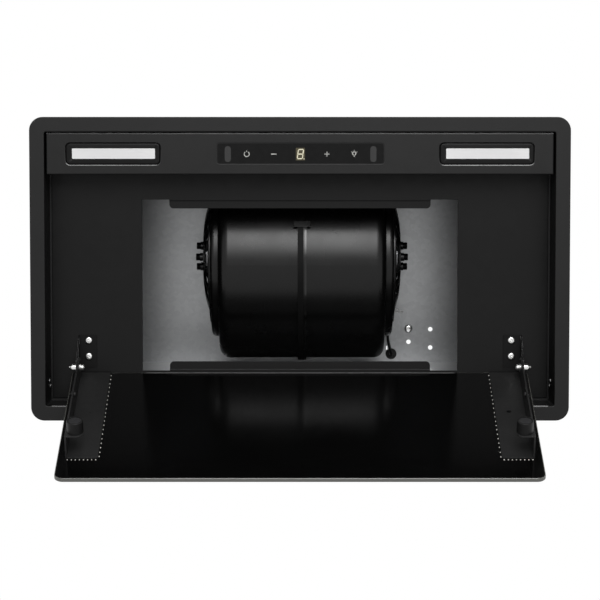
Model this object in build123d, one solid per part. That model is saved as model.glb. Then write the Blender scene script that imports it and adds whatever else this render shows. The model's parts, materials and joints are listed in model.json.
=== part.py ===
from build123d import *
import math
import os

# Built-in range hood, as installed: +Z up, the control strip at the front (-Y), the hinges at the rear (+Y).
# The origin is the centre of the cabinet cut-out, in the plane where the flange's top face seats.
# The glass panel is modelled open, hanging back on its stop. All sizes are in millimetres.

# Flange and recess
FLANGE_W = 520.0
FLANGE_D = 293.0
FLANGE_T = 1.5
FLANGE_R = 13.0
FLANGE_EDGE_R = 0.5
RIM = 14.3
RECESS_CORNER_R = 2.0
SHEET = 1.0
RECESS_BEND_R = 1.0
RETURN_Z = 49.0

# Recessed floor plate and its filter opening
FLOOR_T = 1.0
FLOOR_SIDE_GAP = 1.9
FLOOR_END_GAP = 2.5
FILTER_HALF_W = 155.3
FILTER_FRONT_GAP = 25.4
FILTER_REAR_GAP = 10.8
FILTER_GUIDE_H = 7.0
LEDGE_HALF_W = 128.4
LEDGE_REACH = 8.8
LEDGE_STEP = 3.0
LEDGE_R = 4.0

# Control strip
STRIP_Z = 1.0
STRIP_SIDE_GAP = 1.7
STRIP_FRONT_GAP = 0.9
STRIP_D = 39.9
STRIP_BEND_R = 1.2
STRIP_LIP_H = 12.0
STRIP_TOP_LIP = 14.0

# Lamps
LAMP_FROM_END = 64.3
LAMP_FROM_FRONT = 20.3
BEZEL_W = 92.5
BEZEL_D = 22.6
BEZEL_R = 5.0
BEZEL_PROUD = 1.2
BEZEL_EDGE_R = 0.5
SLEEVE_INSET = 2.2
SLEEVE_H = 12.0
WINDOW_W = 81.0
WINDOW_D = 10.8
LENS_LEDGE = 1.5
LENS_BACK = 0.6
LENS_T = 2.4
LAMP_BOARD_T = 1.6
LED_COUNT = 9
LED_SIZE = 3.0
LED_H = 1.0

# Controls
GLASS_X = 0.5
GLASS_FROM_FRONT = 19.9
GLASS_W = 160.8
GLASS_D = 20.2
GLASS_T = 3.0
GLASS_R = 1.0
GLASS_PROUD = 0.2
HOUSING_MARGIN = 5.0
HOUSING_H = 13.0
HOUSING_WALL = 3.0
BOARD_LEDGE = 2.0
BOARD_T = 1.6
BOARD_GAP = 3.6
DISPLAY_W = 9.6
DISPLAY_D = 12.6
KEY_PITCH = 26.0
KEY_R = 3.0

# Casing above the recess
CASE_SIDE_GAP = 9.7
CASE_END_GAP = 18.8
CASE_T = 0.8
CASE_FOOT = 8.0
CASE_CORNER_R = 2.0
CASE_SCREW_END_IN = 48.0
TOP_SKIRT = 14.0
ROOF_HOLE_R = 2.4
ROOF_HOLES = ((116.2, 21.7), (139.5, 35.3), (139.5, 15.6))
ROOF_SLOTS = ((94.0, 25.1), (93.0, 15.3))
ROOF_SLOT_L = 4.0
ROOF_SLOT_W = 1.2
EARTH_SCREW_X = 116.1
EARTH_SCREW_BACK = 35.9
EARTH_HEAD_R = 4.2
EARTH_HEAD_H = 2.6
EARTH_SCREW_R = 2.0
EARTH_NUT_FLATS = 7.0
EARTH_NUT_H = 3.2

# Blower housing, a volute about an axis along X
BLOWER_X = 2.0
BLOWER_LIFT = 13.5
SCROLL_FRONT_GAP = 20.4
SCROLL_BACK_GAP = 13.4
SCROLL_HALF_W = 84.0
SCROLL_WALL = 2.0
SCROLL_STEP = 8.0
SCROLL_EDGE_R = 10.0
OUTLET_NECK = 5.5
TONGUE_DEG = 97.0
TONGUE_R = 6.0
SEAM_W = 3.0
SEAM_H = 2.6
OUTLET_LIP = 8.0
OUTLET_LIP_T = 3.0
OUTLET_LIP_INSET = 14.0
CLIP_ANGLES = (-115.0, -160.0, 155.0)
CLIP_W = 17.0
CLIP_L = 6.0
CLIP_T = 1.6

# Inlet rings and grilles
RING_BAND = 20.0
RING_OUT = 8.0
RING_ROUND = 4.0
THROAT_INSET = 13.0
THROAT_IN = 4.0
RING_WALL = 2.0
GRILLE_FOOT = 6.0
GRILLE_RIM_IN = 3.0
GRILLE_RISE = 9.0
GRILLE_FULLNESS = 0.6
GRILLE_MID_OUT = 4.0
GRILLE_T = 1.8
GRILLE_HUB_R = 24.0
GRILLE_BARS = 16
GRILLE_BAR_W = 3.0
LUG_CIRCLE_R = 12.3
LUG_ANGLES = (30.0, 150.0, 270.0)
LUG_R = 4.2
LUG_H = 3.6
HUB_SCREW_HEAD_R = 3.5
HUB_SCREW_HEAD_H = 4.0
HUB_SCREW_R = 1.5

# Motor and impeller
AXLE_R = 6.0
AXLE_INSET = 1.0
CLAMP_R = 17.0
CLAMP_T = 8.0
HUB_RUBBER_T = 1.0
AIR_GAP = 3.0
STATOR_HALF_L = 18.0
WINDING_STEP = 5.0
WINDING_L = 6.0
ROTOR_GAP = 17.0
ROTOR_HALF_L = 33.0
ROTOR_WALL = 3.0
BEARING_R = 11.0
BEARING_W = 7.0
WHEEL_GAP = 9.5
WHEEL_END_GAP = 8.0
BLADE_DEPTH = 12.0
BLADE_T = 1.2
BLADE_COUNT = 36
BLADE_BEND_R = 11.4
BLADE_ENTRY_DEG = 10.0
BLADE_TURN_DEG = 70.0
DISC_T = 3.0
END_RING_T = 2.5

# Hinged glass panel, sizes in its closed position
PANEL_SIDE_GAP = 21.2
PANEL_REAR_GAP = 19.5
PANEL_T = 4.0
PANEL_R = 8.0
PANEL_REAR_R = 3.0
PANEL_CHAMFER = 0.5
PANEL_FRONT_GAP = 2.6
PANEL_Z = 12.0
PIVOT_FROM_REAR = 15.4
PIVOT_ABOVE = 14.3
STOP_GAP = 0.4

# Panel brackets and magnet catches
BRACKET_T = 1.4
EAR_INSET = 7.8
PLATE_W = 30.1
PLATE_START = 2.0
PLATE_FRONT_GAP = 35.1
PLATE_R = 2.0
EAR_END_R = 9.7
SHELF_W = 17.0
SHELF_L = 18.0
SHELF_R = 6.0
DIMPLE_S = 74.7
DIMPLE_N = 17.2
DIMPLE_R = 2.4
DIMPLE_H = 1.0
PLATE_MARK_S = 80.0
PLATE_MARK_IN = 17.0
PLATE_HOLE_R = 2.5
PLATE_BOSS_R = 2.2
PLATE_BOSS_H = 0.5
MAGNET_IN = 9.3
MAGNET_FROM_END = 9.0
MAGNET_CUP_R = 7.7
MAGNET_R = 5.9
MAGNET_T = 4.0
MAGNET_SINK = 0.4
MAGNET_GAP = 0.3

# Fixed hinge brackets and pivots
EAR_GAP = 0.2
BASE_REACH = 16.7
BASE_FRONT = 29.7
BASE_REAR = 2.2
FIXED_EAR_R = 9.3
FIXED_EAR_REAR = 4.5
BASE_SCREW_IN = 8.7
BASE_SCREW_STEPS = (24.7, 9.0)
BOLT_R = 1.75
BOLT_HEAD_R = 3.0
BOLT_HEAD_H = 3.6
WASHER_T = 0.8
WASHER_R = 4.0
NUT_FLATS = 6.0
NUT_H = 5.0
BOLT_TIP = 1.6

# Duct collar and non-return flaps
SPIGOT_R = 59.5
SPIGOT_WALL = 2.0
SPIGOT_L = 38.0
TRANSITION_H = 24.0
COLLAR_BASE_T = 2.0
COLLAR_SIDE_MARGIN = 4.0
COLLAR_MARGIN = 8.5
COLLAR_SCREW_INSET = 14.0
COLLAR_BEND_DEG = 40.0
FLAP_T = 1.2
FLAP_GAP = 1.5
FLAP_LEDGE_W = 3.0
FLAP_LEDGE_H = 2.0
FLAP_PIN_R = 1.5
FLAP_PIN_INSET = 0.4
FLAP_BARREL_R = 3.0
FLAP_SPLIT = 3.4
KNUCKLE_SPLIT = 27.0
KNUCKLE_END_GAP = 6.0

# Terminal box on the top plate
BOX_W = 110.0
BOX_D = 110.0
BOX_COLLAR_GAP = 15.0
BOX_BACK_GAP = 73.4
BOX_H = 44.0
BOX_WALL = 2.0
LID_T = 2.0
LID_SCREW_INSET = 6.0
POST_R = 3.6
CAPACITOR_R = 15.0
CAPACITOR_L = 56.0
DRIVER_W = 60.0
DRIVER_D = 44.0
STANDOFF_H = 5.0
GLAND_R = 8.0
GLAND_L = 12.0
GLAND_BORE_R = 3.6
GLAND_FLANGE = 2.5
GLAND_Z = 20.0

# Motor lead, its grommet and its tie
LEAD_R = 1.4
BEND_SHARE = 0.45
GROMMET_COLLAR_GAP = 7.5
GROMMET_BACK = 8.9
GROMMET_R = 5.8
GROMMET_NECK_R = 4.2
GROMMET_LIP = 1.6
LEAD_Z_OVER_TOP = 10.0
LEAD_BOX_INSET = 13.0
TIE_RUN_COUNT = 4
TIE_LOOP = 2.0
TIE_T = 1.0
TIE_W = 2.5
TIE_HEAD = 3.2
TIE_TAIL = 5.0

# Fasteners and fits
SCREW_R = 1.9
SCREW_HEAD_R = 3.6
SCREW_HEAD_H = 2.4
SCREW_L = 6.0
HOLE_CLEARANCE = 0.25
RUNNING_FIT = 0.05
LOOSE_FIT = 0.2
SKIRT_FIT = 0.05
NEAR = 0.001
FIXING_CLIP_END = 18.2
FIXING_CLIP_W = 22.0
FIXING_CLIP_OUT = 8.0
FIXING_CLIP_T = 0.8
FIXING_SCREW_R = 1.5
FIXING_SCREW_HEAD_R = 2.6
FIXING_SCREW_HEAD_H = 1.4
FIXING_SCREWS = ((-2.8, 32.4), (3.0, 40.5))

# Places that follow from the sizes above: recess and strip
RECESS_HALF_W = FLANGE_W / 2 - RIM
RECESS_HALF_D = FLANGE_D / 2 - RIM
RETURN_TOP = RETURN_Z + SHEET
FLOOR_Z = RETURN_Z - FLOOR_T
FIXING_CLIP_Y = RECESS_HALF_D - FIXING_CLIP_END
STRIP_HALF_W = RECESS_HALF_W - STRIP_SIDE_GAP
STRIP_FRONT_Y = -RECESS_HALF_D + STRIP_FRONT_GAP
STRIP_REAR_Y = STRIP_FRONT_Y + STRIP_D
STRIP_TOP = STRIP_Z + SHEET
LAMP_X = STRIP_HALF_W - LAMP_FROM_END
LAMP_Y = STRIP_FRONT_Y + LAMP_FROM_FRONT
GLASS_Y = STRIP_FRONT_Y + GLASS_FROM_FRONT

# Casing and blower
CASE_HALF_W = RECESS_HALF_W - CASE_SIDE_GAP
CASE_HALF_D = RECESS_HALF_D - CASE_END_GAP
FILTER_FRONT_Y = STRIP_REAR_Y + FILTER_FRONT_GAP
FILTER_REAR_Y = CASE_HALF_D - FILTER_REAR_GAP
SCROLL_REAR_Y = CASE_HALF_D - SCROLL_BACK_GAP
SCROLL_REAR_R = CASE_HALF_D + (SCROLL_STEP - SCROLL_FRONT_GAP - SCROLL_BACK_GAP) / 2
SCROLL_TOP_R = SCROLL_REAR_R - 2 * SCROLL_STEP
AXIS_Y = SCROLL_REAR_Y - SCROLL_REAR_R - SCROLL_STEP / 2
AXIS_Z = RETURN_TOP + BLOWER_LIFT + SCROLL_REAR_R - SCROLL_STEP / 2
CEILING_Z = AXIS_Z + SCROLL_TOP_R + OUTLET_NECK
CASE_TOP = CEILING_Z + CASE_T
EARTH_SCREW_Y = CASE_HALF_D - EARTH_SCREW_BACK
TONGUE_TURN = math.radians(TONGUE_DEG)
TONGUE_Y = AXIS_Y - SCROLL_STEP / 2 + SCROLL_TOP_R * math.cos(TONGUE_TURN)
OUTLET_LIP_HALF_W = SCROLL_HALF_W - OUTLET_LIP_INSET
IMPELLER_R = SCROLL_TOP_R - WHEEL_GAP
IMPELLER_HALF_W = SCROLL_HALF_W - WHEEL_END_GAP
ROTOR_R = IMPELLER_R - BLADE_DEPTH - ROTOR_GAP
STATOR_R = ROTOR_R - ROTOR_WALL - AIR_GAP
WINDING_R = STATOR_R - WINDING_STEP
THROAT_R = IMPELLER_R - THROAT_INSET
RING_R = THROAT_R + RING_BAND
GRILLE_FOOT_R = THROAT_R + GRILLE_FOOT
GRILLE_RIM_R = THROAT_R - GRILLE_RIM_IN
RING_FACE = SCROLL_HALF_W + RING_OUT
HUB_FACE = RING_FACE + GRILLE_RISE
AXLE_HALF_L = HUB_FACE - GRILLE_T - HUB_RUBBER_T - AXLE_INSET

# Panel, brackets and hinges
PANEL_W = 2 * (RECESS_HALF_W - PANEL_SIDE_GAP)
PANEL_FRONT_Y = STRIP_REAR_Y + PANEL_FRONT_GAP
PANEL_REAR_Y = RECESS_HALF_D - PANEL_REAR_GAP
PANEL_L = PANEL_REAR_Y - PANEL_FRONT_Y
PIVOT_Y = PANEL_REAR_Y - PIVOT_FROM_REAR
PIVOT_Z = PANEL_Z + PIVOT_ABOVE
EAR_X = PANEL_W / 2 - EAR_INSET
EAR_H = PIVOT_ABOVE + EAR_END_R
PLATE_END = PANEL_L - PLATE_FRONT_GAP
MAGNET_X = EAR_X - MAGNET_IN
MAGNET_S = PLATE_END - MAGNET_FROM_END
FIXED_EAR_X = EAR_X + EAR_GAP
BASE_INNER_X = FIXED_EAR_X - BASE_REACH
BASE_FRONT_Y = PIVOT_Y - BASE_FRONT
BASE_REAR_Y = PIVOT_Y + BASE_REAR
BASE_SCREW_X = FIXED_EAR_X - BASE_SCREW_IN
CUP_H = FLOOR_Z - MAGNET_GAP - PANEL_Z - EAR_H

# Collar, flaps, terminal box and lead
COLLAR_Y = (TONGUE_Y + SCROLL_REAR_Y) / 2
COLLAR_HALF_D = (SCROLL_REAR_Y - TONGUE_Y) / 2 + COLLAR_MARGIN
COLLAR_HALF_W = SCROLL_HALF_W + COLLAR_SIDE_MARGIN
SPIGOT_Z = CASE_TOP + COLLAR_BASE_T + TRANSITION_H
FLAP_Z = SPIGOT_Z + FLAP_LEDGE_H + MAGNET_GAP
FLAP_PIN_Z = FLAP_Z + FLAP_BARREL_R
FLAP_R = SPIGOT_R - SPIGOT_WALL - FLAP_GAP
KNUCKLE_END = FLAP_R - KNUCKLE_END_GAP
COLLAR_END_X = BLOWER_X + COLLAR_HALF_W
BOX_X = (COLLAR_END_X + BOX_COLLAR_GAP, COLLAR_END_X + BOX_COLLAR_GAP + BOX_W)
BOX_Y = (CASE_HALF_D - BOX_BACK_GAP - BOX_D, CASE_HALF_D - BOX_BACK_GAP)
BOX_TOP = CASE_TOP + BOX_H
GROMMET_X = COLLAR_END_X + GROMMET_COLLAR_GAP
GROMMET_Y = CASE_HALF_D - GROMMET_BACK
LEAD_BOX_X = BOX_X[0] + LEAD_BOX_INSET
LEAD_TOP_Z = CASE_TOP + LEAD_Z_OVER_TOP

# Opening angle of the panel: its outer rear corner meets the floor plate
STOP_REACH = math.hypot(PIVOT_FROM_REAR, PIVOT_ABOVE + PANEL_T)
STOP_START = -math.atan2(PIVOT_ABOVE + PANEL_T, PIVOT_FROM_REAR)
STOP_END = math.asin((FLOOR_Z - STOP_GAP - PIVOT_Z) / STOP_REACH)
OPEN_DEG = math.degrees(STOP_END - STOP_START)


def span(x, y, z):
    """A block between the low and high ends given for each axis."""
    sizes = [high - low for low, high in (x, y, z)]
    centre = [(high + low) / 2 for low, high in (x, y, z)]
    return Pos(*centre) * Box(*sizes)


def slab(width, depth, radius, low, high, x=0.0, y=0.0):
    """A plate with rounded corners between two heights."""
    outline = Pos(x, y, low) * RectangleRounded(width, depth, radius)
    return extrude(outline, high - low)


def rod(radius, start, end):
    """A round bar between two points."""
    run = Vector(*end) - Vector(*start)
    return extrude(Plane(origin=start, z_dir=run) * Circle(radius), run.length)


def tube(outer, inner, start, end):
    """A round tube between two points."""
    return rod(outer, start, end) - rod(inner, start, end)


def mirrored(shape, x=0.0):
    """The same piece on the other side of the plane at x."""
    return mirror(shape, about=Plane.YZ.offset(x))


def opened(shape):
    """Turns a piece of the closed panel about the hinge axis to the open position."""
    return Pos(0, PIVOT_Y, PIVOT_Z) * Rot(OPEN_DEG, 0, 0) * Pos(0, -PIVOT_Y, -PIVOT_Z) * shape


def screw(foot, direction, head_r=SCREW_HEAD_R, head_h=SCREW_HEAD_H, shank_r=SCREW_R, shank_l=SCREW_L):
    """A pan-head screw whose head's underside is at foot and whose shank runs along direction."""
    way = Vector(*direction)
    base = Vector(*foot)
    head = rod(head_r, base - way * head_h, base)
    return head + rod(shank_r, base, base + way * shank_l)


def union(shapes):
    """All the shapes in one group."""
    whole = Part()
    for shape in shapes:
        whole += shape
    return whole


def save(node, shape):
    export_step(shape, f"parts/{node}.step")


def save_pair(node, shape, x=0.0):
    save(f"{node}_left", shape)
    save(f"{node}_right", mirrored(shape, x))


# Flange, recess walls and top return


def fixing_screw_places():
    """Side, place along Y and height of each screw that holds a side clip."""
    return [
        (side, end * (FIXING_CLIP_Y + shift), height)
        for side in (-1, 1)
        for end in (-1, 1)
        for shift, height in FIXING_SCREWS
    ]


def flange_frame():
    inner_w = 2 * RECESS_HALF_W
    inner_d = 2 * RECESS_HALF_D
    frame = slab(FLANGE_W, FLANGE_D, FLANGE_R, -FLANGE_T, 0)
    outer_rim = frame.faces().sort_by(Axis.Z)[0].outer_wire().edges()
    frame = fillet(outer_rim, FLANGE_EDGE_R)
    frame += slab(inner_w + 2 * SHEET, inner_d + 2 * SHEET, RECESS_CORNER_R + SHEET, -SHEET, RETURN_TOP)
    frame -= slab(inner_w, inner_d, RECESS_CORNER_R, -FLANGE_T, RETURN_Z)
    frame -= slab(2 * CASE_HALF_W, 2 * CASE_HALF_D, CASE_CORNER_R, RETURN_Z, RETURN_TOP)
    mouth = frame.faces().sort_by(Axis.Z)[0].inner_wires()[0].edges()
    frame = fillet(mouth, RECESS_BEND_R)
    for side, y, z in fixing_screw_places():
        start = (side * (RECESS_HALF_W - SHEET), y, z)
        end = (side * (RECESS_HALF_W + 2 * SHEET), y, z)
        frame -= rod(FIXING_SCREW_R + HOLE_CLEARANCE, start, end)
    return frame


def fixing_clip(side, end):
    """Spring clip on the outside of a recess wall: a flat pad, then a bow that grips the cut-out."""
    wall = RECESS_HALF_W + SHEET
    pad_top = RETURN_Z - 2 * SHEET
    pad_low = FIXING_SCREWS[0][1] - 2 * FIXING_SCREW_HEAD_R
    bow_z = pad_low / 2
    foot_z = 2 * SHEET
    half = FIXING_CLIP_T / 2
    path = Polyline(
        (wall + half, pad_top),
        (wall + half, pad_low),
        (wall + FIXING_CLIP_OUT - half, bow_z),
        (wall + FIXING_CLIP_OUT / 2, foot_z),
    )
    profile = Plane.XZ * offset(path, half, kind=Kind.INTERSECTION, side=Side.BOTH)
    y = end * FIXING_CLIP_Y
    body = extrude(make_face(profile.edges()), FIXING_CLIP_W / 2, both=True)
    clip = Pos(0, y, 0) * body
    for shift, height in FIXING_SCREWS:
        start = (wall - SHEET, y + end * shift, height)
        hole_end = (wall + 2 * SHEET, y + end * shift, height)
        clip -= rod(FIXING_SCREW_R + HOLE_CLEARANCE, start, hole_end)
    return clip if side > 0 else mirrored(clip)


def fixing_clips():
    return union(fixing_clip(side, end) for side in (-1, 1) for end in (-1, 1))


def fixing_clip_screws():
    shank = 3 * SHEET + FIXING_CLIP_T
    screws = []
    for side, y, z in fixing_screw_places():
        foot = (side * RECESS_HALF_W, y, z)
        head = (FIXING_SCREW_HEAD_R, FIXING_SCREW_HEAD_H, FIXING_SCREW_R, shank)
        screws.append(screw(foot, (side, 0, 0), *head))
    return union(screws)


# Floor plate


def ledge(edge_y, way):
    """Joggled tab that the filter rests on, reaching into the opening along way."""
    riser = sorted((edge_y, edge_y + way * FLOOR_T))
    reach = sorted((edge_y, edge_y + way * LEDGE_REACH))
    step_z = FLOOR_Z + LEDGE_STEP
    across = (-LEDGE_HALF_W, LEDGE_HALF_W)
    tab = span(across, reach, (step_z, step_z + FLOOR_T))
    tip = [e for e in tab.edges().filter_by(Axis.Z) if abs(e.center().Y - edge_y) > FLOOR_T]
    tab = fillet(tip, LEDGE_R)
    return tab + span(across, riser, (FLOOR_Z, step_z + FLOOR_T))


def base_screw_places():
    return [(side * BASE_SCREW_X, PIVOT_Y - step) for side in (-1, 1) for step in BASE_SCREW_STEPS]


def floor_plate():
    half_w = RECESS_HALF_W - FLOOR_SIDE_GAP
    half_d = RECESS_HALF_D - FLOOR_END_GAP
    top = FLOOR_Z + FLOOR_T
    plate = span((-half_w, half_w), (-half_d, half_d), (FLOOR_Z, top))
    hole_w = (-FILTER_HALF_W, FILTER_HALF_W)
    plate -= span(hole_w, (FILTER_FRONT_Y, FILTER_REAR_Y), (FLOOR_Z, top))
    guide_y = (FILTER_FRONT_Y, FILTER_REAR_Y)
    for side in (-1, 1):
        guide_x = sorted((side * FILTER_HALF_W, side * (FILTER_HALF_W + FLOOR_T)))
        plate += span(guide_x, guide_y, (FLOOR_Z, FLOOR_Z + FILTER_GUIDE_H))
    plate += ledge(FILTER_FRONT_Y, 1)
    plate += ledge(FILTER_REAR_Y, -1)
    for x, y in base_screw_places():
        plate -= rod(SCREW_R + HOLE_CLEARANCE, (x, y, FLOOR_Z), (x, y, top))
    return plate


# Control strip with its lamps and controls


def control_strip():
    across = (-STRIP_HALF_W, STRIP_HALF_W)
    along = (STRIP_FRONT_Y, STRIP_REAR_Y)
    shell = span(across, along, (STRIP_Z, FLOOR_Z))
    shell = fillet(shell.faces().sort_by(Axis.Z)[0].edges(), STRIP_BEND_R)
    room_x = (-STRIP_HALF_W + SHEET, STRIP_HALF_W - SHEET)
    shell -= span(room_x, (STRIP_FRONT_Y + SHEET, STRIP_REAR_Y - SHEET), (STRIP_TOP, FLOOR_Z))
    front_cut = (STRIP_FRONT_Y, STRIP_REAR_Y - SHEET)
    shell -= span(across, front_cut, (STRIP_Z + STRIP_LIP_H, FLOOR_Z))
    lip_y = (STRIP_REAR_Y - STRIP_TOP_LIP, STRIP_REAR_Y)
    shell += span(room_x, lip_y, (FLOOR_Z - SHEET, FLOOR_Z))
    sleeve_w = BEZEL_W - 2 * SLEEVE_INSET + LOOSE_FIT
    sleeve_d = BEZEL_D - 2 * SLEEVE_INSET + LOOSE_FIT
    sleeve_r = BEZEL_R - SLEEVE_INSET
    for side in (-1, 1):
        shell -= slab(sleeve_w, sleeve_d, sleeve_r, STRIP_Z, STRIP_TOP, side * LAMP_X, LAMP_Y)
    window = (GLASS_W + LOOSE_FIT, GLASS_D + LOOSE_FIT, GLASS_R)
    shell -= slab(*window, STRIP_Z, STRIP_TOP, GLASS_X, GLASS_Y)
    return shell


def lamp_bezel():
    face_z = STRIP_Z - BEZEL_PROUD
    place = (-LAMP_X, LAMP_Y)
    bezel = slab(BEZEL_W, BEZEL_D, BEZEL_R, face_z, STRIP_Z, *place)
    bezel = fillet(bezel.faces().sort_by(Axis.Z)[0].edges(), BEZEL_EDGE_R)
    sleeve = (BEZEL_W - 2 * SLEEVE_INSET, BEZEL_D - 2 * SLEEVE_INSET, BEZEL_R - SLEEVE_INSET)
    bezel += slab(*sleeve, STRIP_Z, STRIP_Z + SLEEVE_H, *place)
    pocket_z = face_z + LENS_BACK
    pocket = (WINDOW_W + 2 * LENS_LEDGE, WINDOW_D + 2 * LENS_LEDGE, LENS_LEDGE)
    bezel -= slab(*pocket, pocket_z, STRIP_Z + SLEEVE_H, *place)
    bezel -= slab(WINDOW_W, WINDOW_D, LENS_LEDGE / 2, face_z, pocket_z, *place)
    return bezel


def lamp_lens():
    """Frosted lens seated on the bezel's ledge, with a land that fills the window."""
    pocket_z = STRIP_Z - BEZEL_PROUD + LENS_BACK
    place = (-LAMP_X, LAMP_Y)
    rim = (WINDOW_W + 2 * LENS_LEDGE - LOOSE_FIT, WINDOW_D + 2 * LENS_LEDGE - LOOSE_FIT, LENS_LEDGE)
    lens = slab(*rim, pocket_z, pocket_z + LENS_T, *place)
    land = (WINDOW_W - LOOSE_FIT, WINDOW_D - LOOSE_FIT, LENS_LEDGE / 2)
    return lens + slab(*land, pocket_z - LENS_BACK + LOOSE_FIT, pocket_z, *place)


def lamp_boards():
    """Circuit board across each sleeve's back, with a row of light-emitting diodes facing the lens."""
    low = STRIP_Z + SLEEVE_H
    width = BEZEL_W - 2 * SLEEVE_INSET
    board = slab(width, BEZEL_D - 2 * SLEEVE_INSET, LENS_LEDGE, low, low + LAMP_BOARD_T, -LAMP_X, LAMP_Y)
    pitch = WINDOW_W / LED_COUNT
    for index in range(LED_COUNT):
        x = -LAMP_X + (index - (LED_COUNT - 1) / 2) * pitch
        chip_x = (x - LED_SIZE / 2, x + LED_SIZE / 2)
        board += span(chip_x, (LAMP_Y - LED_SIZE / 2, LAMP_Y + LED_SIZE / 2), (low - LED_H, low))
    return board + mirrored(board)


def control_glass():
    low = STRIP_Z - GLASS_PROUD
    return slab(GLASS_W, GLASS_D, GLASS_R, low, low + GLASS_T, GLASS_X, GLASS_Y)


def control_housing():
    """Plastic tray behind the strip that holds the control window and its board."""
    glass_top = STRIP_Z - GLASS_PROUD + GLASS_T
    outer = (GLASS_W + 2 * HOUSING_MARGIN, GLASS_D + 2 * HOUSING_MARGIN, GLASS_R + HOUSING_WALL)
    tray = slab(*outer, STRIP_TOP, STRIP_TOP + HOUSING_H, GLASS_X, GLASS_Y)
    seat = (GLASS_W + LOOSE_FIT, GLASS_D + LOOSE_FIT, GLASS_R)
    tray -= slab(*seat, STRIP_TOP, glass_top, GLASS_X, GLASS_Y)
    room = (GLASS_W - 2 * BOARD_LEDGE, GLASS_D - 2 * BOARD_LEDGE, GLASS_R)
    tray -= slab(*room, glass_top, glass_top + BOARD_GAP + BOARD_T, GLASS_X, GLASS_Y)
    return tray


def display_board():
    """Board against the tray's back, with the figure display in the middle."""
    glass_top = STRIP_Z - GLASS_PROUD + GLASS_T
    low = glass_top + BOARD_GAP
    width = GLASS_W - 2 * BOARD_LEDGE - LOOSE_FIT
    board = slab(width, GLASS_D - 2 * BOARD_LEDGE - LOOSE_FIT, GLASS_R, low, low + BOARD_T, GLASS_X, GLASS_Y)
    display_x = (GLASS_X - DISPLAY_W / 2, GLASS_X + DISPLAY_W / 2)
    display_y = (GLASS_Y - DISPLAY_D / 2, GLASS_Y + DISPLAY_D / 2)
    return board + span(display_x, display_y, (glass_top, low))


def touch_springs():
    """Four sensing springs between the board and the back of the glass, drawn as plain rounds."""
    glass_top = STRIP_Z - GLASS_PROUD + GLASS_T
    springs = []
    for step in (-2, -1, 1, 2):
        x = GLASS_X + step * KEY_PITCH
        springs.append(rod(KEY_R, (x, GLASS_Y, glass_top), (x, GLASS_Y, glass_top + BOARD_GAP)))
    return union(springs)


# Galvanised casing


def casing_wrap():
    outer_w = 2 * (CASE_HALF_W + CASE_T)
    outer_d = 2 * (CASE_HALF_D + CASE_T)
    outer_r = CASE_CORNER_R + CASE_T
    wrap = slab(outer_w, outer_d, outer_r, RETURN_TOP, CEILING_Z)
    foot = (outer_w + 2 * CASE_FOOT, outer_d + 2 * CASE_FOOT, outer_r)
    wrap += slab(*foot, RETURN_TOP, RETURN_TOP + CASE_T)
    wrap -= slab(2 * CASE_HALF_W, 2 * CASE_HALF_D, CASE_CORNER_R, RETURN_TOP, CEILING_Z)
    return cut_screw_holes(wrap, casing_screw_places())


def casing_screw_places():
    """Foot and direction of each screw through the top plate's skirt."""
    z = CASE_TOP - TOP_SKIRT / 2
    x = CASE_HALF_W + 2 * CASE_T
    y = CASE_HALF_D + 2 * CASE_T
    sides = [((side * x, end * y / 2, z), (-side, 0, 0)) for side in (-1, 1) for end in (-1, 1)]
    inner_x = CASE_HALF_W - CASE_SCREW_END_IN
    ends = [((side * inner_x, end * y, z), (0, -end, 0)) for side in (-1, 1) for end in (-1, 1)]
    return sides + ends


def collar_screw_places():
    inset = COLLAR_MARGIN / 2
    ys = (COLLAR_Y - COLLAR_HALF_D + inset, COLLAR_Y + COLLAR_HALF_D - inset)
    reach = OUTLET_LIP_HALF_W - COLLAR_SCREW_INSET
    xs = [BLOWER_X + side * reach for side in (-1, 0, 1)]
    return [(x, y) for x in xs for y in ys]


def casing_top():
    wall = CASE_HALF_W + CASE_T + SKIRT_FIT
    depth = CASE_HALF_D + CASE_T + SKIRT_FIT
    radius = CASE_CORNER_R + CASE_T
    low = CASE_TOP - TOP_SKIRT
    top = slab(2 * (wall + CASE_T), 2 * (depth + CASE_T), radius + CASE_T, low, CASE_TOP)
    top -= slab(2 * wall, 2 * depth, radius, low, CEILING_Z)
    outlet_x = (BLOWER_X - SCROLL_HALF_W + SCROLL_WALL, BLOWER_X + SCROLL_HALF_W - SCROLL_WALL)
    outlet_y = (TONGUE_Y + SCROLL_WALL, SCROLL_REAR_Y - SCROLL_WALL)
    top -= span(outlet_x, outlet_y, (CEILING_Z, CASE_TOP))
    for x, back in ROOF_HOLES:
        y = CASE_HALF_D - back
        top -= rod(ROOF_HOLE_R, (x, y, CEILING_Z), (x, y, CASE_TOP))
    earth = (EARTH_SCREW_X, EARTH_SCREW_Y)
    top -= rod(EARTH_SCREW_R + HOLE_CLEARANCE, (*earth, CEILING_Z), (*earth, CASE_TOP))
    for x, back in ROOF_SLOTS:
        y = CASE_HALF_D - back
        slot_x = (x - ROOF_SLOT_W / 2, x + ROOF_SLOT_W / 2)
        slot_y = (y - ROOF_SLOT_L / 2, y + ROOF_SLOT_L / 2)
        top -= span(slot_x, slot_y, (CEILING_Z, CASE_TOP))
    neck = GROMMET_NECK_R + HOLE_CLEARANCE
    top -= rod(neck, (GROMMET_X, GROMMET_Y, CEILING_Z), (GROMMET_X, GROMMET_Y, CASE_TOP))
    for x, y in collar_screw_places():
        top -= rod(SCREW_R + HOLE_CLEARANCE, (x, y, CEILING_Z), (x, y, CASE_TOP))
    return cut_screw_holes(top, casing_screw_places())


def cut_screw_holes(body, places):
    for foot, way in places:
        base = Vector(*foot)
        run = Vector(*way)
        body -= rod(SCREW_R + HOLE_CLEARANCE, base - run * SCREW_HEAD_H, base + run * SCREW_L)
    return body


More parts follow.
